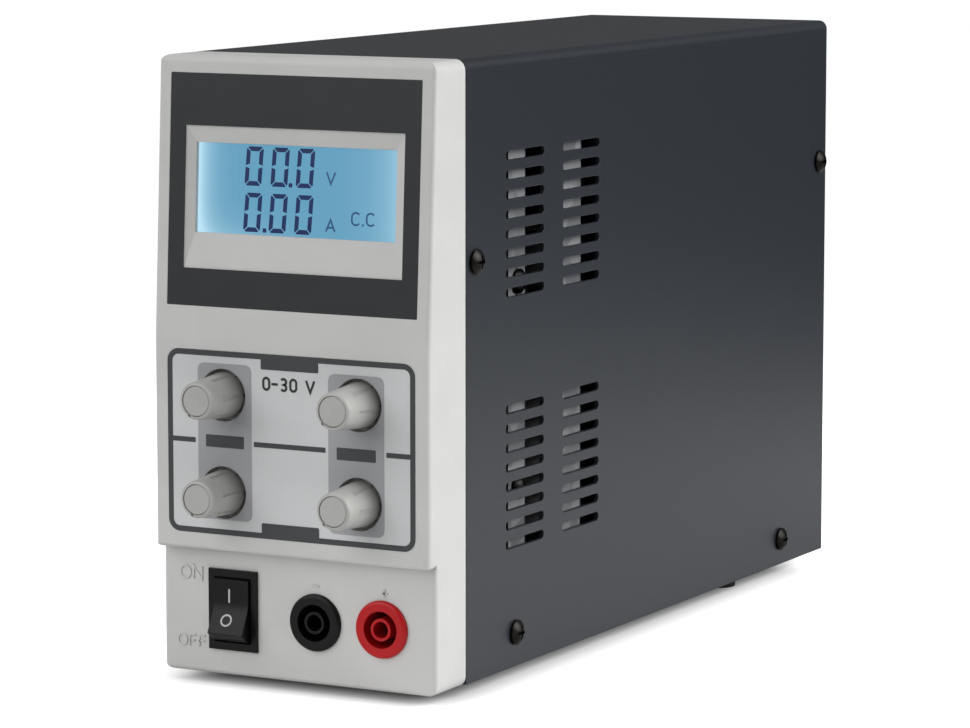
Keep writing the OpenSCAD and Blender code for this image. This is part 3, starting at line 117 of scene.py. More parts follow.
# Camera: place in mm from the middle, the joint plane and the cover's lower edge; degrees down from level and round
# to the right; lens and sensor in mm
CAMERA_PLACE = (535.3, -918.9, 220.1)
CAMERA_DOWN, CAMERA_ROUND = 7.49, 28.03
CAMERA_LENS, CAMERA_SENSOR = 154.2, 36.0
# Lamps: name, place in metres, side of the square in metres, power in watts; and the point that they are turned to
LAMPS = (
    ("key_right", (1.45, 0.4, 0.9), 1.2, 37.0),
    ("fill_front", (-0.9, -1.6, 1.4), 2.6, 48.0),
)
LAMP_TARGET = (0.0, 0.0, 0.08)
# The world's strength as light, and as seen in gloss
WORLD_LIGHT = 0.06
WORLD_GLOSS = 0.13
# Floor: radii of its rings in metres, points on each, and the distances between which its own tone sinks to a dark
# grey, so that the far floor doesn't light the object
FLOOR_RADII = (0.4, 1.2, 3.0, 8.0)
FLOOR_SIDES = 64
FLOOR_NEAR, FLOOR_FAR = 0.3, 0.75
# Part of the footprint, in metres from the origin, within which the floor keeps its own shade; the width over which
# it passes to the backdrop's white; and the shares of white and of the paper's tone close under the case, where the
# paper is darkened as painted shadow
SHADE_HALF = (0.0285, 0.101, 0.0)
SHADE_FADE = 0.032
SHADE_LIFT = 0.02
PAPER_PAINTED_SHADOW = 0.7


# ---------------------------------------------------------------- colours and nodes


def linear(hex_colour):
    """sRGB hex such as 'C2C2BE' as linear RGBA: the standard curve, with its straight foot below 0.04045."""
    c = np.array([int(hex_colour[i:i + 2], 16) for i in (0, 2, 4)]) / 255.0
    c = np.where(c <= 0.04045, c / 12.92, ((c + 0.055) / 1.055) ** 2.4)
    return (*c.tolist(), 1.0)


def shaded(colour, keep):
    """The darker tone of a linear colour: each channel times the share that it keeps."""
    return (*(channel * keep for channel in colour[:3]), 1.0)


def add(tree, kind, settings=None, **inputs):
    """Adds a node, sets its properties, and fills each input with a value or links it from a socket."""
    node = tree.nodes.new("ShaderNode" + kind)
    for key, value in (settings or {}).items():
        setattr(node, key, value)
    for key, value in inputs.items():
        name = key.replace("_", " ")
        socket = node.inputs[int(name[1:])] if name[0] == "i" and name[1:].isdigit() else node.inputs[name]
        if isinstance(value, bpy.types.NodeSocket):
            tree.links.new(value, socket)
        else:
            socket.default_value = value
    return node


def new_material(name):
    """An empty node material: its tree, a Principled shader joined to the output, and Object coordinates."""
    material = bpy.data.materials.new(name)
    material.use_nodes = True
    tree = material.node_tree
    tree.nodes.clear()
    shader = add(tree, "BsdfPrincipled")
    output = add(tree, "OutputMaterial")
    tree.links.new(shader.outputs["BSDF"], output.inputs["Surface"])
    where = add(tree, "TexCoord").outputs["Object"]
    return material, tree, shader, where


def set_shader(shader, **values):
    """Sets constants on the shader's own sockets."""
    for key, value in values.items():
        shader.inputs[key.replace("_", " ")].default_value = value


def ramp(tree, factor, stops):
    """A colour ramp through (position, colour) stops, each colour as hex or as linear RGBA."""
    node = add(tree, "ValToRGB", Fac=factor)
    elements = node.color_ramp.elements
    while len(elements) < len(stops):
        elements.new(0.5)
    for element, (position, colour) in zip(elements, stops):
        element.position = position
        element.color = linear(colour) if isinstance(colour, str) else colour
    return node.outputs["Color"]


def moulded_plastic(name, colour, shade, roughness, grain_mm, grain_depth, edge_mm, specular=0.5):
    """Injection-moulded plastic: a faint cloudiness in the colour, 14 mm across, the spark-eroded grain of the mould
    as bump, and softly broken edges. In mm: the grain's size, the grain's depth, and the radius of the broken edges.
    Real grain is about 0.1 mm; it is drawn coarser, so that it shows."""
    material, tree, shader, where = new_material(name)
    cloud = add(tree, "TexNoise", Vector=where, Scale=1 / (14 * MM), Detail=3.0)
    tint = ramp(tree, cloud.outputs["Fac"], [(0.3, shade), (0.7, colour)])
    tree.links.new(tint, shader.inputs["Base Color"])
    grain = add(tree, "TexNoise", Vector=where, Scale=1 / (grain_mm * MM), Detail=2.0, Roughness=0.6)
    edge = add(tree, "Bevel", {"samples": 4}, Radius=edge_mm * MM)
    bump = add(tree, "Bump", Height=grain.outputs["Fac"], Strength=0.35, Distance=grain_depth * MM,
               Normal=edge.outputs["Normal"])
    tree.links.new(bump.outputs["Normal"], shader.inputs["Normal"])
    wear = add(tree, "MapRange", Value=cloud.outputs["Fac"], i3=roughness - 0.03, i4=roughness + 0.04)
    tree.links.new(wear.outputs["Result"], shader.inputs["Roughness"])
    set_shader(shader, Specular_IOR_Level=specular, IOR=1.5)
    return material


def knob_plastic_with_painted_shade(name, colour, shade, roughness, painted_shade_at_foot, reach_mm):
    """Satin plastic of the knobs: as moulded plastic, but with shade painted into the colour, which sinks smoothly
    toward the foot in its well: to the given share at the foot, and back to full over reach_mm."""
    material = moulded_plastic(name, colour, shade, roughness, grain_mm=0.3, grain_depth=0.012, edge_mm=0.15)
    tree = material.node_tree
    shader = next(node for node in tree.nodes if node.bl_idname == "ShaderNodeBsdfPrincipled")
    where = next(node for node in tree.nodes if node.bl_idname == "ShaderNodeTexCoord").outputs["Object"]
    tint = shader.inputs["Base Color"].links[0].from_socket
    foot = (JOINT_Y - PANEL_DEPTH) * MM
    # Painted shade: the colour is scaled down toward the panel plane at the knob's foot
    split = add(tree, "SeparateXYZ", Vector=where)
    level = add(tree, "MapRange", {"interpolation_type": "SMOOTHSTEP"}, Value=split.outputs["Y"], i1=foot,
                i2=foot - reach_mm * MM, i3=painted_shade_at_foot, i4=1.0)
    sunk = add(tree, "VectorMath", {"operation": "SCALE"}, i0=tint, Scale=level.outputs["Result"])
    tree.links.new(sunk.outputs[0], shader.inputs["Base Color"])
    return material


def powder_coat(name, colour, shade, roughness):
    """Powder-coated steel sheet: the low orange peel of the baked powder, 1.2 mm from swell to swell, a speck in the
    colour, 0.5 mm across, and folds broken by 0.25 mm."""
    material, tree, shader, where = new_material(name)
    speck = add(tree, "TexNoise", Vector=where, Scale=1 / (0.5 * MM), Detail=3.0)
    tint = ramp(tree, speck.outputs["Fac"], [(0.3, shade), (0.7, colour)])
    tree.links.new(tint, shader.inputs["Base Color"])
    peel = add(tree, "TexNoise", Vector=where, Scale=1 / (1.2 * MM), Detail=2.0)
    edge = add(tree, "Bevel", {"samples": 4}, Radius=0.25 * MM)
    bump = add(tree, "Bump", Height=peel.outputs["Fac"], Strength=0.25, Distance=0.03 * MM,
               Normal=edge.outputs["Normal"])
    tree.links.new(bump.outputs["Normal"], shader.inputs["Normal"])
    set_shader(shader, Roughness=roughness, IOR=1.5, Specular_IOR_Level=0.55)
    return material


def zinc_sheet(name, colour, shade, roughness):
    """Hot-dip galvanised sheet: flat crystals about 7 mm across, each with its own tone and gloss."""
    material, tree, shader, where = new_material(name)
    spangle = add(tree, "TexVoronoi", Vector=where, Scale=1 / (7 * MM))
    tint = ramp(tree, spangle.outputs["Color"], [(0.2, shade), (0.8, colour)])
    tree.links.new(tint, shader.inputs["Base Color"])
    gloss = add(tree, "MapRange", Value=spangle.outputs["Color"], i3=roughness - 0.06, i4=roughness + 0.08)
    tree.links.new(gloss.outputs["Result"], shader.inputs["Roughness"])
    set_shader(shader, Metallic=1.0)
    return material


def turned_metal(name, colour, shade, roughness):
    """Plated or bare turned metal: tool marks 0.15 mm apart, coarser than real ones so that they show, over a tone
    that changes every 3 mm or so, and edges broken by 0.12 mm."""
    material, tree, shader, where = new_material(name)
    tone = add(tree, "TexNoise", Vector=where, Scale=1 / (3 * MM), Detail=3.0)
    tint = ramp(tree, tone.outputs["Fac"], [(0.3, shade), (0.7, colour)])
    tree.links.new(tint, shader.inputs["Base Color"])
    marks = add(tree, "TexNoise", Vector=where, Scale=1 / (0.15 * MM), Detail=1.0)
    edge = add(tree, "Bevel", {"samples": 4}, Radius=0.12 * MM)
    bump = add(tree, "Bump", Height=marks.outputs["Fac"], Strength=0.15, Distance=0.01 * MM,
               Normal=edge.outputs["Normal"])
    tree.links.new(bump.outputs["Normal"], shader.inputs["Normal"])
    set_shader(shader, Metallic=1.0, Roughness=roughness)
    return material


def printed_film(name, colour, shade, roughness, specular):
    """Screen-printed polyester film: an ink coat that clouds a little over 9 mm, under a matted surface whose 0.2 mm
    grain is coarser than the real one, so that it shows."""
    material, tree, shader, where = new_material(name)
    cloud = add(tree, "TexNoise", Vector=where, Scale=1 / (9 * MM), Detail=2.0)
    tint = ramp(tree, cloud.outputs["Fac"], [(0.3, shade), (0.7, colour)])
    tree.links.new(tint, shader.inputs["Base Color"])
    matting = add(tree, "TexNoise", Vector=where, Scale=1 / (0.2 * MM), Detail=1.0)
    bump = add(tree, "Bump", Height=matting.outputs["Fac"], Strength=0.15, Distance=0.006 * MM)
    tree.links.new(bump.outputs["Normal"], shader.inputs["Normal"])
    set_shader(shader, Roughness=roughness, IOR=1.5, Specular_IOR_Level=specular)
    return material


def circuit_board(name):
    """Glass-fibre board: green solder mask over copper tracks, drawn as the cells' borders of a 4 mm Voronoi."""
    material, tree, shader, where = new_material(name)
    tracks = add(tree, "TexVoronoi", {"feature": "DISTANCE_TO_EDGE"}, Vector=where, Scale=1 / (4 * MM))
    tint = ramp(tree, tracks.outputs["Distance"], [(0.04, "3F8A55"), (0.09, "1A5A33")])
    tree.links.new(tint, shader.inputs["Base Color"])
    set_shader(shader, Roughness=0.35, IOR=1.5)
    return material


def lit_display(name, blue, pale, strength):
    """Lit blue liquid crystal cell under clear glass: the glow of the lamps falls off as a power of the distance from
    the left edge, less strongly from the right edge, and a little light gathers low on the left."""
    material, tree, shader, where = new_material(name)
    low, high = (np.array(c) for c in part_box("display_glass"))
    split = add(tree, "SeparateXYZ", Vector=where)

    def calc(operation, first, second, clamp=False):
        return add(tree, "Math", {"operation": operation, "use_clamp": clamp}, i0=first, i1=second).outputs[0]

    across = add(tree, "MapRange", Value=split.outputs["X"], i1=float(low[0]) + GLOW_MARGIN_X * MM,
                 i2=float(high[0]) - GLOW_MARGIN_X * MM).outputs["Result"]
    up = add(tree, "MapRange", Value=split.outputs["Z"], i1=float(low[2]) + GLOW_MARGIN_Z * MM,
             i2=float(high[2]) - GLOW_MARGIN_Z * MM).outputs["Result"]
    from_left = calc("SUBTRACT", 1.0, across)
    left = calc("MULTIPLY", calc("POWER", from_left, GLOW_LEFT[0]), GLOW_LEFT[1])
    right = calc("MULTIPLY", calc("POWER", across, GLOW_RIGHT[0]), GLOW_RIGHT[1])
    low_down = calc("POWER", calc("SUBTRACT", 1.0, up), GLOW_FOOT[0])
    foot = calc("MULTIPLY", low_down, calc("POWER", from_left, GLOW_FOOT[1]))
    glow = calc("ADD", calc("ADD", left, right), calc("MULTIPLY", foot, GLOW_FOOT[2]), True)
    light = ramp(tree, glow, [(0.0, blue), (1.0, pale)])
    tree.links.new(light, shader.inputs["Emission Color"])
    set_shader(shader, Base_Color=linear("16303F"), Emission_Strength=strength, Roughness=0.12, IOR=1.5)
    return material


def ink(name, colour, roughness=0.5):
    """Screen-printing ink: an even film with pin-point unevenness in its gloss, 0.3 mm across."""
    material, tree, shader, where = new_material(name)
    spots = add(tree, "TexNoise", Vector=where, Scale=1 / (0.3 * MM), Detail=1.0)
    gloss = add(tree, "MapRange", Value=spots.outputs["Fac"], i3=roughness - 0.05, i4=roughness + 0.05)
    tree.links.new(gloss.outputs["Result"], shader.inputs["Roughness"])
    set_shader(shader, Base_Color=linear(colour), IOR=1.5, Specular_IOR_Level=0.4)
    return material


# ---------------------------------------------------------------- surfaces


def ribbon(path, width, lift, thickness, closed=False):
    """A flat bar carried along a path: at each point the bar's four corners lie half the width to either side,
    on the mitre of the two neighbouring directions, at two heights above the face."""
    p = np.asarray(path, float)
    p = p[np.r_[True, np.linalg.norm(np.diff(p, axis=0), axis=1) > 1e-6]]
    if closed:
        if np.linalg.norm(p[0] - p[-1]) < 1e-6:
            p = p[:-1]
        before, after = p - np.roll(p, 1, 0), np.roll(p, -1, 0) - p
    else:
        step = np.diff(p, axis=0)
        before = np.vstack([step[:1], step])
        after = np.vstack([step, step[-1:]])
    before /= np.linalg.norm(before, axis=1)[:, None]
    after /= np.linalg.norm(after, axis=1)[:, None]
    side = np.stack([-(before + after)[:, 1], (before + after)[:, 0]], 1)
    side /= np.linalg.norm(side, axis=1)[:, None]
    half = width / 2 / np.clip((side * np.stack([-before[:, 1], before[:, 0]], 1)).sum(1), 0.4, 1)
    left, right = p + side * half[:, None], p - side * half[:, None]
    n = len(p)
    heights = [lift, lift + thickness]
    rings = [np.c_[left, np.full(n, heights[0])], np.c_[left, np.full(n, heights[1])],
             np.c_[right, np.full(n, heights[1])], np.c_[right, np.full(n, heights[0])]]
    verts = np.stack(rings, 1).reshape(-1, 3)
    count = n if closed else n - 1
    i = np.arange(count)[:, None]
    j = np.arange(4)[None, :]
    nxt = (i + 1) % n
    faces = np.stack([i * 4 + j, nxt * 4 + j, nxt * 4 + (j + 1) % 4, i * 4 + (j + 1) % 4], -1).reshape(-1, 4).tolist()
    if not closed:
        faces += [[0, 1, 2, 3], [4 * n - 1, 4 * n - 2, 4 * n - 3, 4 * n - 4]]
    return verts, faces


def plate(outline, lift, thickness):
    """A flat plate: its outline at two heights above the face, joined by a wall."""
    o = np.asarray(outline, float)
    n = len(o)
    verts = np.vstack([np.c_[o, np.full(n, lift)], np.c_[o, np.full(n, lift + thickness)]])
    i = np.arange(n)
    wall = np.stack([i, (i + 1) % n, (i + 1) % n + n, i + n], 1).tolist()
    return verts, wall + [list(range(n - 1, -1, -1)), list(range(n, 2 * n))]


def washer(centre, radius, angles, outer, lift, thickness):
    """A plate with a round hole: for each angle one point on the hole and one on the outer outline, at two heights."""
    n = len(angles)
    inner = np.asarray(centre) + radius * np.c_[np.cos(angles), np.sin(angles)]
    rings = [np.c_[inner, np.full(n, lift)], np.c_[inner, np.full(n, lift + thickness)],
             np.c_[outer, np.full(n, lift + thickness)], np.c_[outer, np.full(n, lift)]]
    verts = np.stack(rings, 1).reshape(-1, 3)
    i = np.arange(n)[:, None]
    j = np.arange(4)[None, :]
    nxt = (i + 1) % n
    faces = np.stack([i * 4 + j, nxt * 4 + j, nxt * 4 + (j + 1) % 4, i * 4 + (j + 1) % 4], -1).reshape(-1, 4)
    return verts, faces.tolist()


def round_box(x0, z0, x1, z1, r, steps=8):
    """Outline of a rectangle with round corners: four quarter arcs, each by angle."""
    a = np.linspace(0, np.pi / 2, steps + 1)
    parts = []
    for k, (cx, cz) in enumerate([(x1 - r, z1 - r), (x0 + r, z1 - r), (x0 + r, z0 + r), (x1 - r, z0 + r)]):
        t = a + k * np.pi / 2
        parts.append(np.c_[cx + r * np.cos(t), cz + r * np.sin(t)])
    return np.vstack(parts)


def arc(cx, cz, rx, rz, start, end, steps=16):
    """Points of an ellipse arc by angle in degrees."""
    t = np.radians(np.linspace(start, end, steps + 1))
    return np.c_[cx + rx * np.cos(t), cz + rz * np.sin(t)]


def cell_outline(centre, x0, x1, z0, z1, r, steps=96):
    """Angles and outer points of a box round a well. Each ray from the well's centre is cut at the box; rays through
    the box's own corners are among them, and points in a rounded corner are drawn onto its arc. r holds the radius of
    the lower and of the upper corners."""
    corners = np.array([(x, z) for x in (x0, x1) for z in (z0, z1)]) - centre
    even = np.linspace(-np.pi, np.pi, steps, endpoint=False)
    angles = np.unique(np.r_[even, np.arctan2(corners[:, 1], corners[:, 0])])
    c, s = np.cos(angles), np.sin(angles)
    reach_x = np.where(c > 0, x1 - centre[0], centre[0] - x0) / np.maximum(np.abs(c), 1e-9)
    reach_z = np.where(s > 0, z1 - centre[1], centre[1] - z0) / np.maximum(np.abs(s), 1e-9)
    p = centre + np.minimum(reach_x, reach_z)[:, None] * np.c_[c, s]
    for sx, x in ((1, x0), (-1, x1)):
        for sz, z, radius in ((1, z0, r[0]), (-1, z1, r[1])):
            if radius > 0:
                middle = np.array([x + sx * radius, z + sz * radius])
                d = p - middle
                inside = (d[:, 0] * sx < 0) & (d[:, 1] * sz < 0)
                length = np.maximum(np.linalg.norm(d, axis=1), 1e-9)
                p = np.where(inside[:, None], middle + d * (radius / length)[:, None], p)
    return angles, p


def on_front(depth):
    """Place of (x, z, height) on an upright face of the front that lies depth in front of the joint plane."""
    def place(v):
        return np.c_[v[:, 0], JOINT_Y - depth - v[:, 2], BASE_Z + v[:, 1]]
    return place


def on_display(sunk):
    """Place of (x, up, height) on the leaning face, sunk below it: up runs along the face from the bend."""
    def place(v):
        deep = sunk - v[:, 2]
        return np.c_[v[:, 0],
                     JOINT_Y - PANEL_DEPTH + deep * math.cos(LEAN) + v[:, 1] * math.sin(LEAN),
                     BASE_Z + LEAN_Z - deep * math.sin(LEAN) + v[:, 1] * math.cos(LEAN)]
    return place


def on_rocker(middle):
    """Place of (x, along, height) on the rocker's face: along runs up from the middle of the hollow curve, first on
    the curve and then straight on its tangent; the whole is then tipped by the rocker's rest angle."""
    def place(v):
        turn = np.clip(v[:, 1] / ROCKER_CURVE, -ROCKER_HALF, ROCKER_HALF)
        past = v[:, 1] - ROCKER_CURVE * turn
        reach = ROCKER_CURVE - v[:, 2]
        y = -ROCKER_WAIST - ROCKER_CURVE / math.cos(ROCKER_HALF) + reach * np.cos(turn) - past * np.sin(turn)
        z = reach * np.sin(turn) + past * np.cos(turn)
        c, s = math.cos(ROCKER_HALF), math.sin(ROCKER_HALF)
        return np.c_[middle + v[:, 0], JOINT_Y + PIVOT_Y + y * c + z * s, BASE_Z + PIVOT_Z - y * s + z * c]
    return place


def make_piece(name, parts, place, material, body):
    """Joins flat shapes into one mesh, places them, turns the faces outwards and lets the piece ride on a body."""
    verts, faces, start = [], [], 0
    for v, f in parts:
        verts.append(place(np.asarray(v)) * MM)
        faces += [[k + start for k in face] for face in f]
        start += len(v)
    mesh = bpy.data.meshes.new(name)
    mesh.from_pydata(np.vstack(verts).tolist(), [], faces)
    work = bmesh.new()
    work.from_mesh(mesh)
    bmesh.ops.recalc_face_normals(work, faces=work.faces)
    work.to_mesh(mesh)
    work.free()
    mesh.materials.append(material)
    piece = bpy.data.objects.new(name, mesh)
    bpy.context.scene.collection.objects.link(piece)
    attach(piece, body)
    return piece


# ---------------------------------------------------------------- marks


def figure_zero(x, z, wide, tall, bar, slant):
    """The figure 0 in six flat bars: one side bar and one level bar, each cut at 45 degrees where they meet and with
    the outer corner taken off, are mirrored about the figure's middle lines; the whole is leaned by the slant, so that
    x grows with height."""
    gap, cut = bar * 0.16, bar * 0.22
    middle = tall / 2 + gap
    side = np.array([(0, middle), (bar, middle + bar * 0.35), (bar, tall - bar - gap), (cut, tall - cut - gap),
                     (0, tall - 2 * cut - gap)])
    level = np.array([(gap + 2 * cut, tall), (gap + cut, tall - cut), (gap + bar, tall - bar),
                      (wide - gap - bar, tall - bar), (wide - gap - cut, tall - cut), (wide - gap - 2 * cut, tall)])
    across, down = np.array([-1, 1]), np.array([1, -1])
    bars = [side, side * down + (0, tall), side * across + (wide, 0), side * -1 + (wide, tall),
            level, level * down + (0, tall)]
    return [np.c_[x + p[:, 0] + slant * p[:, 1], z + p[:, 1]] for p in bars]


def letter_strokes(letter, x, z, wide, tall):
    """The strokes of a plain letter or figure as paths in a box, each with whether it closes: straight lines between
    named points, and for round letters an upper and a lower arc by angle."""
    r, t, m = x + wide, z + tall, z + tall / 2
    cx, hw = x + wide / 2, wide / 2
    if letter in "0O":
        k = min(hw, tall / 3) if letter == "0" else hw
        return [(np.vstack([arc(cx, t - k, hw, k, 0, 180, 14), arc(cx, z + k, hw, k, 180, 360, 14)]), True)]
    if letter == "C":
        k = min(hw, tall / 3)
        return [(np.vstack([arc(cx, t - k, hw, k, 35, 180, 12), arc(cx, z + k, hw, k, 180, 325, 12)]), False)]
    if letter == "3":
        k = tall / 4
        return [(np.vstack([arc(cx, t - k, hw * 0.95, k, 150, -90, 14), arc(cx, z + k, hw, k, 90, -150, 14)]), False)]
    strokes = {
        "V": [[(x, t), (cx, z), (r, t)]],
        "A": [[(x, z), (cx, t), (r, z)], [(x + wide * 0.2, z + tall * 0.34), (r - wide * 0.2, z + tall * 0.34)]],
        "N": [[(x, z), (x, t), (r, z), (r, t)]],
        "F": [[(x, z), (x, t), (r, t)], [(x, m), (r - wide * 0.15, m)]],
        "I": [[(cx, z), (cx, t)]],
        "-": [[(x, m), (r, m)]],
        "+": [[(x, m), (r, m)], [(cx, m - hw), (cx, m + hw)]],
    }[letter]
    return [(np.array(s, float), False) for s in strokes]


def lettering(items, weight, lift, thickness):
    """Letters as flat bars carried along their strokes; items are (letter, x, z, wide, tall)."""
    parts = []
    for letter, x, z, wide, tall in items:
        for path, closed in letter_strokes(letter, x, z, wide, tall):
            parts.append(ribbon(path, weight, lift, thickness, closed))
    return parts


# ---------------------------------------------------------------- settings


def colour_property(name, description, hex_colour):
    """A colour that the user may change, with its default from sRGB hex."""
    return bpy.props.FloatVectorProperty(name=name, description=description, subtype="COLOR", size=4, min=0.0,
                                         max=1.0, default=linear(hex_colour))


class SupplyFinish(bpy.types.PropertyGroup):
    """Colours of the main finishes and strength of the display's light."""
    front: colour_property("Front", "Colour of the moulded front", "C6C6C4")
    cover: colour_property("Cover", "Colour of the cover's powder coat", "20252C")
    knobs: colour_property("Knobs", "Colour of the knobs and their caps", "ADADAA")
    display: colour_property("Display", "Colour of the lit display", "68A3C1")
    glow: bpy.props.FloatProperty(name="Display light", description="Strength of the lit display", min=0.0, max=2.0,
                                  default=0.9)


class SupplyPrint(bpy.types.PropertyGroup):
    """Sizes of the printed and moulded marks, in metres."""
    line: bpy.props.FloatProperty(name="Frame line", description="Width of the printed frame's line",
                                  subtype="DISTANCE", unit="LENGTH", default=1.45 * MM)
    film: bpy.props.FloatProperty(name="Ink height", description="Height of the ink above the film",
                                  subtype="DISTANCE", unit="LENGTH", default=0.03 * MM)
    relief: bpy.props.FloatProperty(name="Relief", description="Height of the moulded marks",
                                    subtype="DISTANCE", unit="LENGTH", default=0.25 * MM)


# ---------------------------------------------------------------- operators


def node_finishes():
    """Which finish each CAD node takes. The comment before each finish says what it gives the eye."""
    chosen = bpy.context.scene.supply_finish
    front, cover, knobs = tuple(chosen.front), tuple(chosen.cover), tuple(chosen.knobs)
    # Even pale grey without a mirror image; the fine grain spreads every highlight
    abs_grey = moulded_plastic("Moulded ABS, light grey, fine grain", front, shaded(front, 0.955), 0.5,
                               grain_mm=0.35, grain_depth=0.03, edge_mm=0.35)
    # Satin dark grey that pales toward grazing light, with a low swell in its reflections
    coat = powder_coat("Powder coat on steel, dark grey satin", cover, shaded(cover, 0.8), 0.36)
    # Patches of lighter and darker metal, bright behind the slots
    zinc = zinc_sheet("Galvanised steel sheet", "B1B3B5", "999C9F", 0.58)
    # Warm white metal with short highlights
    plated = turned_metal("Nickel-plated steel, turned", "C9C6C0", "B4B1AB", 0.25)
    # Yellow metal with short highlights
    brass = turned_metal("Bright brass", "C9A95C", "B4944A", 0.28)
    # Near black with a weak sheen, so that only its edges show
    black = moulded_plastic("Moulded nylon, black", "0C0C0B", "090908", 0.38, grain_mm=0.3, grain_depth=0.02,
                            edge_mm=0.2, specular=0.22)
    # Deep red with a soft highlight on the flange
    red = moulded_plastic("Moulded nylon, red", "B20B13", "A8090F", 0.32, grain_mm=0.5, grain_depth=0.01,
                          edge_mm=0.2, specular=0.3)
    # Warm grey whose round sides run from bright to dark, with shade painted into the colour toward the foot in the
    # well
    knob = knob_plastic_with_painted_shade("Moulded ABS, warm grey, satin", knobs, shaded(knobs, 0.93), 0.38, painted_shade_at_foot=0.55,
                        reach_mm=7.0)
    # Dark metal with a dull gleam on the dome of the head
    black_zinc = turned_metal("Black zinc on steel", "2A2927", "1D1C1B", 0.38)
    # Grey metal, darker than the guard that it holds
    dark_zinc = turned_metal("Dark zinc on steel", "5E5D59", "4A4946", 0.4)
    # Bright thin lines of light along each ring
    chrome = turned_metal("Bright plated wire", "D2D2D0", "BEBEBC", 0.16)
    # Flat black with no highlight
    rubber = moulded_plastic("Rubber, black", "171717", "121212", 0.75, grain_mm=0.5, grain_depth=0.02,
                             edge_mm=0.2, specular=0.3)
    # Matt dark field that takes a grey veil of light
    dark_film = printed_film("Printed film, dark grey", "212427", "1E2124", 0.42, 0.4)
    # Pale field, a little bluer and smoother than the moulding round it
    grey_film = printed_film("Printed film, light grey", "C8C9CA", "C5C6C7", 0.48, 0.45)
    # Green with pale tracks, seen only through the openings
    board = circuit_board("Circuit board, green mask")
    # Milky white with a clear gloss
    guide = moulded_plastic("Light guide, white acrylic", "E6EEF2", "DDE8EE", 0.25, grain_mm=0.8, grain_depth=0.01,
                            edge_mm=0.2)
    # Plain blue housing
    blue = moulded_plastic("Component body, blue phenolic", "2A5683", "244C75", 0.45, grain_mm=0.4,
                           grain_depth=0.02, edge_mm=0.2)
    # Black with the hard gloss of the oxide coat
    anodised = moulded_plastic("Black anodised aluminium", "26272A", "1F2022", 0.35, grain_mm=0.4,
                               grain_depth=0.02, edge_mm=0.2, specular=0.8)
    # Dull charcoal grey, like fired clay
    ferrite = moulded_plastic("Ferrite core", "3C3B3A", "323130", 0.55, grain_mm=0.6, grain_depth=0.03, edge_mm=0.3)
    # Glossy dark blue skin
    sleeve = moulded_plastic("Shrink sleeve, dark blue", "1F2A38", "1A2330", 0.3, grain_mm=1.0, grain_depth=0.02,
                             edge_mm=0.3)
    # Orange metal under a clear coat
    copper = turned_metal("Enamelled copper wire", "B8703A", "9C5A2C", 0.3)
    # Pale and glossy, for the tube and its caps alike
    glass_tube = moulded_plastic("Fuse, glass and caps", "CFCFC8", "BEBEB6", 0.2, grain_mm=1.0, grain_depth=0.01,
                                 edge_mm=0.1)
    # Even blue light, paler along the sides where the lamps sit
    display = lit_display("Lit display, blue", tuple(chosen.display), "C4ECFF", chosen.glow)
    return {
        abs_grey: ["front_bezel"],
        coat: ["cover", "rear_panel"],
        zinc: ["chassis", "right_side_plate", "left_side_plate"],
        plated: ["pot_nuts", "voltage_fine_spindle", "voltage_coarse_spindle", "current_fine_spindle",
                 "current_coarse_spindle", "black_contact", "red_contact", "socket_nuts", "bezel_screws",
                 "display_screws", "foot_screws", "foot_nuts", "inlet_pins"],
        brass: ["switch_terminals", "board_standoffs"],
        black: ["switch_body", "switch_rocker", "black_socket", "fan_frame", "fan_rotor", "inlet_housing",
                "fuse_drawer", "power_transistors"],
        red: ["red_socket"],
        knob: ["voltage_fine_knob", "voltage_coarse_knob", "current_fine_knob", "current_coarse_knob",
               "voltage_fine_cap", "voltage_coarse_cap", "current_fine_cap", "current_coarse_cap"],
        black_zinc: ["cover_screws", "inlet_screws", "plate_screws"],
        dark_zinc: ["fan_screws"],
        chrome: ["fan_guard"],
        rubber: ["feet"],
        dark_film: ["display_label"],
        grey_film: ["control_label"],
        board: ["display_board", "control_board", "main_board"],
        guide: ["display_light"],
        blue: ["potentiometers"],
        anodised: ["heatsinks"],
        ferrite: ["transformer"],
        sleeve: ["capacitors"],
        copper: ["output_choke"],
        glass_tube: ["fuse"],
        display: ["display_glass"],
    }


class SUPPLY_OT_finishes(bpy.types.Operator):
    """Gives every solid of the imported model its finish"""
    bl_idname = "supply.finishes"
    bl_label = "Finishes"

    def execute(self, context):
        left = set(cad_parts)
        for material, names in node_finishes().items():
            for name in names:
                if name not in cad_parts:
                    raise RuntimeError(f"the model has no node named {name}")
                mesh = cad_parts[name].data
                mesh.materials.clear()
                mesh.materials.append(material)
                left.discard(name)
        if left:
            raise RuntimeError(f"no finish for {sorted(left)}")
        return {"FINISHED"}


class SUPPLY_OT_display_figures(bpy.types.Operator):
    """Makes the display's seven-bar figures, unit letters and mode letters"""
    bl_idname = "supply.display_figures"
    bl_label = "Display figures"

    def execute(self, context):
        # The large figures block most of the light and the thin letters less; a grey strip along the glass's left edge
        # is painted shadow of the window's wall
        dark = ink("Liquid crystal, dark blue", "06285E", 0.35)
        slate = ink("Liquid crystal, small letters", "2A5B85", 0.35)
        edge = ink("Liquid crystal, painted wall shadow", "2C3A46", 0.35)
        glass = on_display(GLASS_SUNK)
        bars = []
        for z, lefts, dot in FIGURE_ROWS:
            for x in lefts:
                bars += figure_zero(x, z, FIGURE_WIDE, FIGURE_TALL, FIGURE_BAR, FIGURE_SLANT)
            bars.append(round_box(dot - 0.1, z, dot + 1.0, z + 1.1, 0.2, 3))
        figures = [plate(outline, MARK_LIFT, MARK_THICK) for outline in bars]
        make_piece("display_figures", figures, glass, dark, "case")
        letters = lettering(DISPLAY_LETTERS, LETTER_BAR, MARK_LIFT, MARK_THICK)
        letters.append(plate(round_box(*LETTER_DOT, 2), MARK_LIFT, MARK_THICK))
        make_piece("display_letters", letters, glass, slate, "case")
        make_piece("display_painted_shadow", [plate(WALL_SHADOW_STRIP, 0.0, MARK_LIFT)], glass, edge, "case")
        return {"FINISHED"}


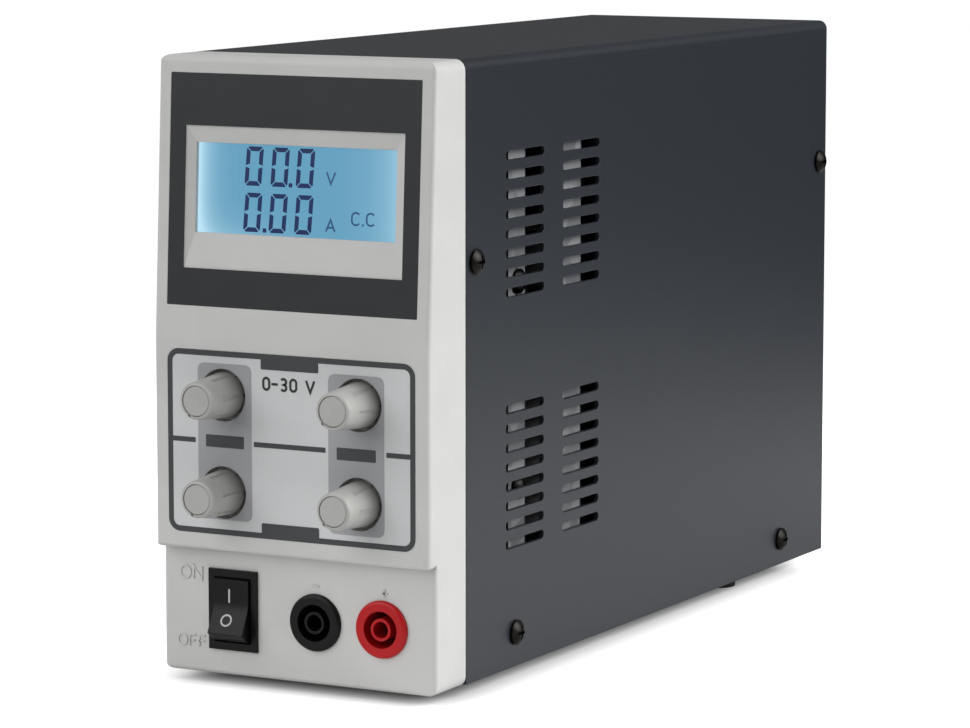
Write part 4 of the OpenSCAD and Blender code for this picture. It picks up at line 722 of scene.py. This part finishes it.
class SUPPLY_OT_control_print(bpy.types.Operator):
    """Prints the frame, the strips, the bare plates and the range figures on the control film"""
    bl_idname = "supply.control_print"
    bl_label = "Control print"

    def execute(self, context):
        sizes = context.scene.supply_print
        line, film = sizes.line / MM, sizes.film / MM
        # Flat inks that look cut out against the pale film: soft black, a mid grey and a deeper black for figures
        dark = ink("Ink, charcoal", "3A3D3F")
        grey = ink("Ink, mid grey", "9A9B9E")
        black = ink("Ink, black", "2A2B2C")
        front = on_front(PANEL_DEPTH)
        x, low, high = FRAME_HALF - line / 2, FRAME_LOW + line / 2, FRAME_HIGH - line / 2
        parts = [ribbon(round_box(-x, low, x, high, FRAME_CORNER, 10), line, film, film, True)]
        # The title plates and the middle line differ a little in height, so that no two faces coincide
        for title in TITLE_PLATES:
            parts.append(plate(round_box(*title, 0.4, 3), film, film * 1.2))
        z0, z1 = MIDDLE_LINE
        for x0, x1 in MIDDLE_PARTS:
            parts.append(plate([(x0, z0), (x1, z0), (x1, z1), (x0, z1)], film, film * 0.9))
        make_piece("control_frame", parts, front, dark, "case")
        # Each strip is two cells, one round each well, that meet under the small plate
        strips = []
        for cx, (x0, x1, z0, z1) in zip(KNOB_X, STRIPS):
            cells = ((KNOB_Z[0], z0, STRIP_SPLIT, (STRIP_CORNER, 0)), (KNOB_Z[1], STRIP_SPLIT, z1, (0, STRIP_CORNER)))
            for cz, bottom, top, corners in cells:
                centre = np.array([cx, cz])
                angles, outer = cell_outline(centre, x0, x1, bottom, top, corners)
                strips.append(washer(centre, WELL_R + 0.02, angles, outer, 0.0, film * 0.8))
        make_piece("control_strips", strips, front, grey, "case")
        half, tall = SMALL_PLATE_HALF, SMALL_PLATE_TALL
        plates = [plate(round_box(x - half, z, x + half, z + tall, 0.25, 3), film * 0.8, film)
                  for x, z in SMALL_PLATES]
        make_piece("control_plates", plates, front, dark, "case")
        make_piece("range_figures", lettering(RANGE_FIGURES, RANGE_BAR, film, film), front, black, "case")
        return {"FINISHED"}


class SUPPLY_OT_moulded_marks(bpy.types.Operator):
    """Raises ON, OFF, minus and plus on the lower block, in the bezel's own plastic"""
    bl_idname = "supply.moulded_marks"
    bl_label = "Moulded marks"

    def execute(self, context):
        relief = context.scene.supply_print.relief / MM
        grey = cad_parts["front_bezel"].data.materials[0]
        # The strokes start just inside the face, so that no gap shows under them
        marks = lettering(BLOCK_MARKS, BLOCK_BAR, -0.02, relief)
        make_piece("moulded_marks", marks, on_front(BLOCK_DEPTH), grey, "case")
        return {"FINISHED"}


class SUPPLY_OT_rocker_marks(bpy.types.Operator):
    """Prints the bar and the ring on the two halves of the rocker"""
    bl_idname = "supply.rocker_marks"
    bl_label = "Rocker marks"

    def execute(self, context):
        # Pale grey that stands out on the black without looking lit
        pale = ink("Ink, pale grey", "B6B7BB")
        place = on_rocker(ROCKER_X)
        bar = np.c_[np.full(9, ROCKER_MARK_X), np.linspace(*ROCKER_BAR_ENDS, 9)]
        ring = arc(ROCKER_MARK_X, ROCKER_RING_AT, ROCKER_RING_R, ROCKER_RING_R, 0, 360, 40)
        make_piece("rocker_bar", [ribbon(bar, ROCKER_BAR_WIDE, 0.0, ROCKER_INK)], place, pale, "power_rocker")
        make_piece("rocker_ring", [ribbon(ring, ROCKER_RING_WIDE, 0.0, ROCKER_INK, True)], place, pale,
                   "power_rocker")
        return {"FINISHED"}


class SUPPLY_OT_stage(bpy.types.Operator):
    """Sets the camera, the pale floor and the soft lights"""
    bl_idname = "supply.stage"
    bl_label = "Stage"

    def execute(self, context):
        scene = context.scene
        scene.view_settings.view_transform = "Standard"
        camera_data = bpy.data.cameras.new("camera")
        camera_data.sensor_width = CAMERA_SENSOR
        camera_data.lens = CAMERA_LENS
        camera_data.clip_start, camera_data.clip_end = 0.01, 50.0
        camera = bpy.data.objects.new("camera", camera_data)
        x, y, z = CAMERA_PLACE
        camera.location = (x * MM, (JOINT_Y + y) * MM, (BASE_Z + z) * MM)
        camera.rotation_euler = (math.radians(90 - CAMERA_DOWN), 0.0, math.radians(CAMERA_ROUND))
        scene.collection.objects.link(camera)
        scene.camera = camera
        self.make_floor(scene)
        self.make_lights(scene)
        self.make_world(scene)
        return {"FINISHED"}

    def make_floor(self, scene):
        """A flat round floor: rings of points by radius and angle."""
        n = FLOOR_SIDES
        a = np.linspace(0, 2 * np.pi, n, endpoint=False)
        across, along = np.outer(FLOOR_RADII, np.cos(a)), np.outer(FLOOR_RADII, np.sin(a))
        grid = np.stack([across, along, np.zeros_like(across)], -1).reshape(-1, 3)
        verts = np.vstack([[0.0, 0.0, 0.0], grid])
        i = np.arange(n)
        nxt = (i + 1) % n
        faces = np.stack([np.zeros_like(i), 1 + i, 1 + nxt], 1).tolist()
        for ring in range(len(FLOOR_RADII) - 1):
            base = 1 + ring * n
            faces += np.stack([base + i, base + n + i, base + n + nxt, base + nxt], 1).tolist()
        mesh = bpy.data.meshes.new("floor")
        mesh.from_pydata(verts.tolist(), [], faces)
        material, tree, shader, where = new_material("Floor, matt white paper")
        distance = add(tree, "VectorMath", {"operation": "LENGTH"}, i0=where).outputs["Value"]
        far = add(tree, "MapRange", {"interpolation_type": "SMOOTHSTEP"}, Value=distance, i1=FLOOR_NEAR,
                  i2=FLOOR_FAR).outputs[0]
        grain = add(tree, "TexNoise", Vector=where, Scale=1 / (4 * MM), Detail=2.0)
        paper = ramp(tree, grain.outputs["Fac"], [(0.2, "EDEDED"), (0.8, "EFEFEF")])
        tint = add(tree, "Mix", {"data_type": "RGBA"}, i0=far, i6=paper, i7=linear("303030")).outputs[2]
        path = add(tree, "LightPath")
        place = add(tree, "VectorMath", {"operation": "ABSOLUTE"}, i0=where).outputs[0]
        outside = add(tree, "VectorMath", {"operation": "SUBTRACT"}, i0=place, i1=SHADE_HALF).outputs[0]
        outside = add(tree, "VectorMath", {"operation": "MAXIMUM"}, i0=outside, i1=(0.0, 0.0, 0.0)).outputs[0]
        reach = add(tree, "VectorMath", {"operation": "LENGTH"}, i0=outside).outputs["Value"]
        lift = add(tree, "MapRange", {"interpolation_type": "SMOOTHSTEP"}, Value=reach, i2=SHADE_FADE,
                   i3=SHADE_LIFT, i4=1.0).outputs[0]
        # Painted shadow: the paper's tone is darkened close under the case, down to the given share
        share = add(tree, "MapRange", Value=lift, i3=PAPER_PAINTED_SHADOW, i4=1.0).outputs[0]
        tint = add(tree, "VectorMath", {"operation": "SCALE"}, i0=tint, Scale=share)
        tree.links.new(tint.outputs[0], shader.inputs["Base Color"])
        seen = add(tree, "Math", {"operation": "MULTIPLY"}, i0=path.outputs["Is Camera Ray"], i1=lift)
        tree.links.new(seen.outputs[0], shader.inputs["Emission Strength"])
        set_shader(shader, Roughness=0.9, Emission_Color=(1, 1, 1, 1), Specular_IOR_Level=0.1)
        mesh.materials.append(material)
        floor = bpy.data.objects.new("floor", mesh)
        scene.collection.objects.link(floor)

    def make_lights(self, scene):
        """Large soft area lamps, each turned so that its local -Z points at the object."""
        target = np.array(LAMP_TARGET)
        for name, place, size, power in LAMPS:
            data = bpy.data.lights.new(name, "AREA")
            data.shape = "SQUARE"
            data.size = size
            data.energy = power
            lamp = bpy.data.objects.new(name, data)
            away = np.array(place) - target
            away /= np.linalg.norm(away)
            lamp.location = place
            lamp.rotation_euler = (math.acos(away[2]), 0.0, math.atan2(away[1], away[0]) + math.pi / 2)
            scene.collection.objects.link(lamp)

    def make_world(self, scene):
        """Faint even light all round, shown as white to the camera and through glass, and as a dim grey in gloss."""
        world = bpy.data.worlds.new("studio")
        scene.world = world
        world.use_nodes = True
        tree = world.node_tree
        tree.nodes.clear()
        path = add(tree, "LightPath")
        seen = add(tree, "Math", {"operation": "MAXIMUM"}, i0=path.outputs["Is Camera Ray"],
                   i1=path.outputs["Is Transmission Ray"])
        level = add(tree, "MapRange", Value=seen.outputs[0], i3=WORLD_LIGHT, i4=1.0).outputs["Result"]
        gloss = add(tree, "Math", {"operation": "MULTIPLY"}, i0=path.outputs["Is Glossy Ray"], i1=WORLD_GLOSS)
        level = add(tree, "Math", {"operation": "MAXIMUM"}, i0=level, i1=gloss.outputs[0])
        sky = add(tree, "Background", Color=(1, 1, 1, 1), Strength=level.outputs[0])
        output = add(tree, "OutputWorld")
        tree.links.new(sky.outputs["Background"], output.inputs["Surface"])


class SUPPLY_PT_panel(bpy.types.Panel):
    """Lists the steps in the sidebar"""
    bl_idname = "SUPPLY_PT_panel"
    bl_label = "Bench Supply"
    bl_space_type = "VIEW_3D"
    bl_region_type = "UI"
    bl_category = "Bench Supply"

    def draw(self, context):
        layout = self.layout
        for operator in OPERATORS:
            layout.operator(operator.bl_idname)
        for name in ("front", "cover", "knobs", "display", "glow"):
            layout.prop(context.scene.supply_finish, name)
        for name in ("line", "film", "relief"):
            layout.prop(context.scene.supply_print, name)


OPERATORS = (SUPPLY_OT_finishes, SUPPLY_OT_display_figures, SUPPLY_OT_control_print, SUPPLY_OT_moulded_marks,
             SUPPLY_OT_rocker_marks, SUPPLY_OT_stage)
CLASSES = (SupplyFinish, SupplyPrint, *OPERATORS, SUPPLY_PT_panel)


def register():
    for cls in CLASSES:
        bpy.utils.register_class(cls)
    bpy.types.Scene.supply_finish = bpy.props.PointerProperty(type=SupplyFinish)
    bpy.types.Scene.supply_print = bpy.props.PointerProperty(type=SupplyPrint)


def unregister():
    del bpy.types.Scene.supply_print
    del bpy.types.Scene.supply_finish
    for cls in reversed(CLASSES):
        bpy.utils.unregister_class(cls)


def main():
    register()
    bpy.ops.supply.finishes()
    bpy.ops.supply.display_figures()
    bpy.ops.supply.control_print()
    bpy.ops.supply.moulded_marks()
    bpy.ops.supply.rocker_marks()
    bpy.ops.supply.stage()


if __name__ == "__main__":
    main()
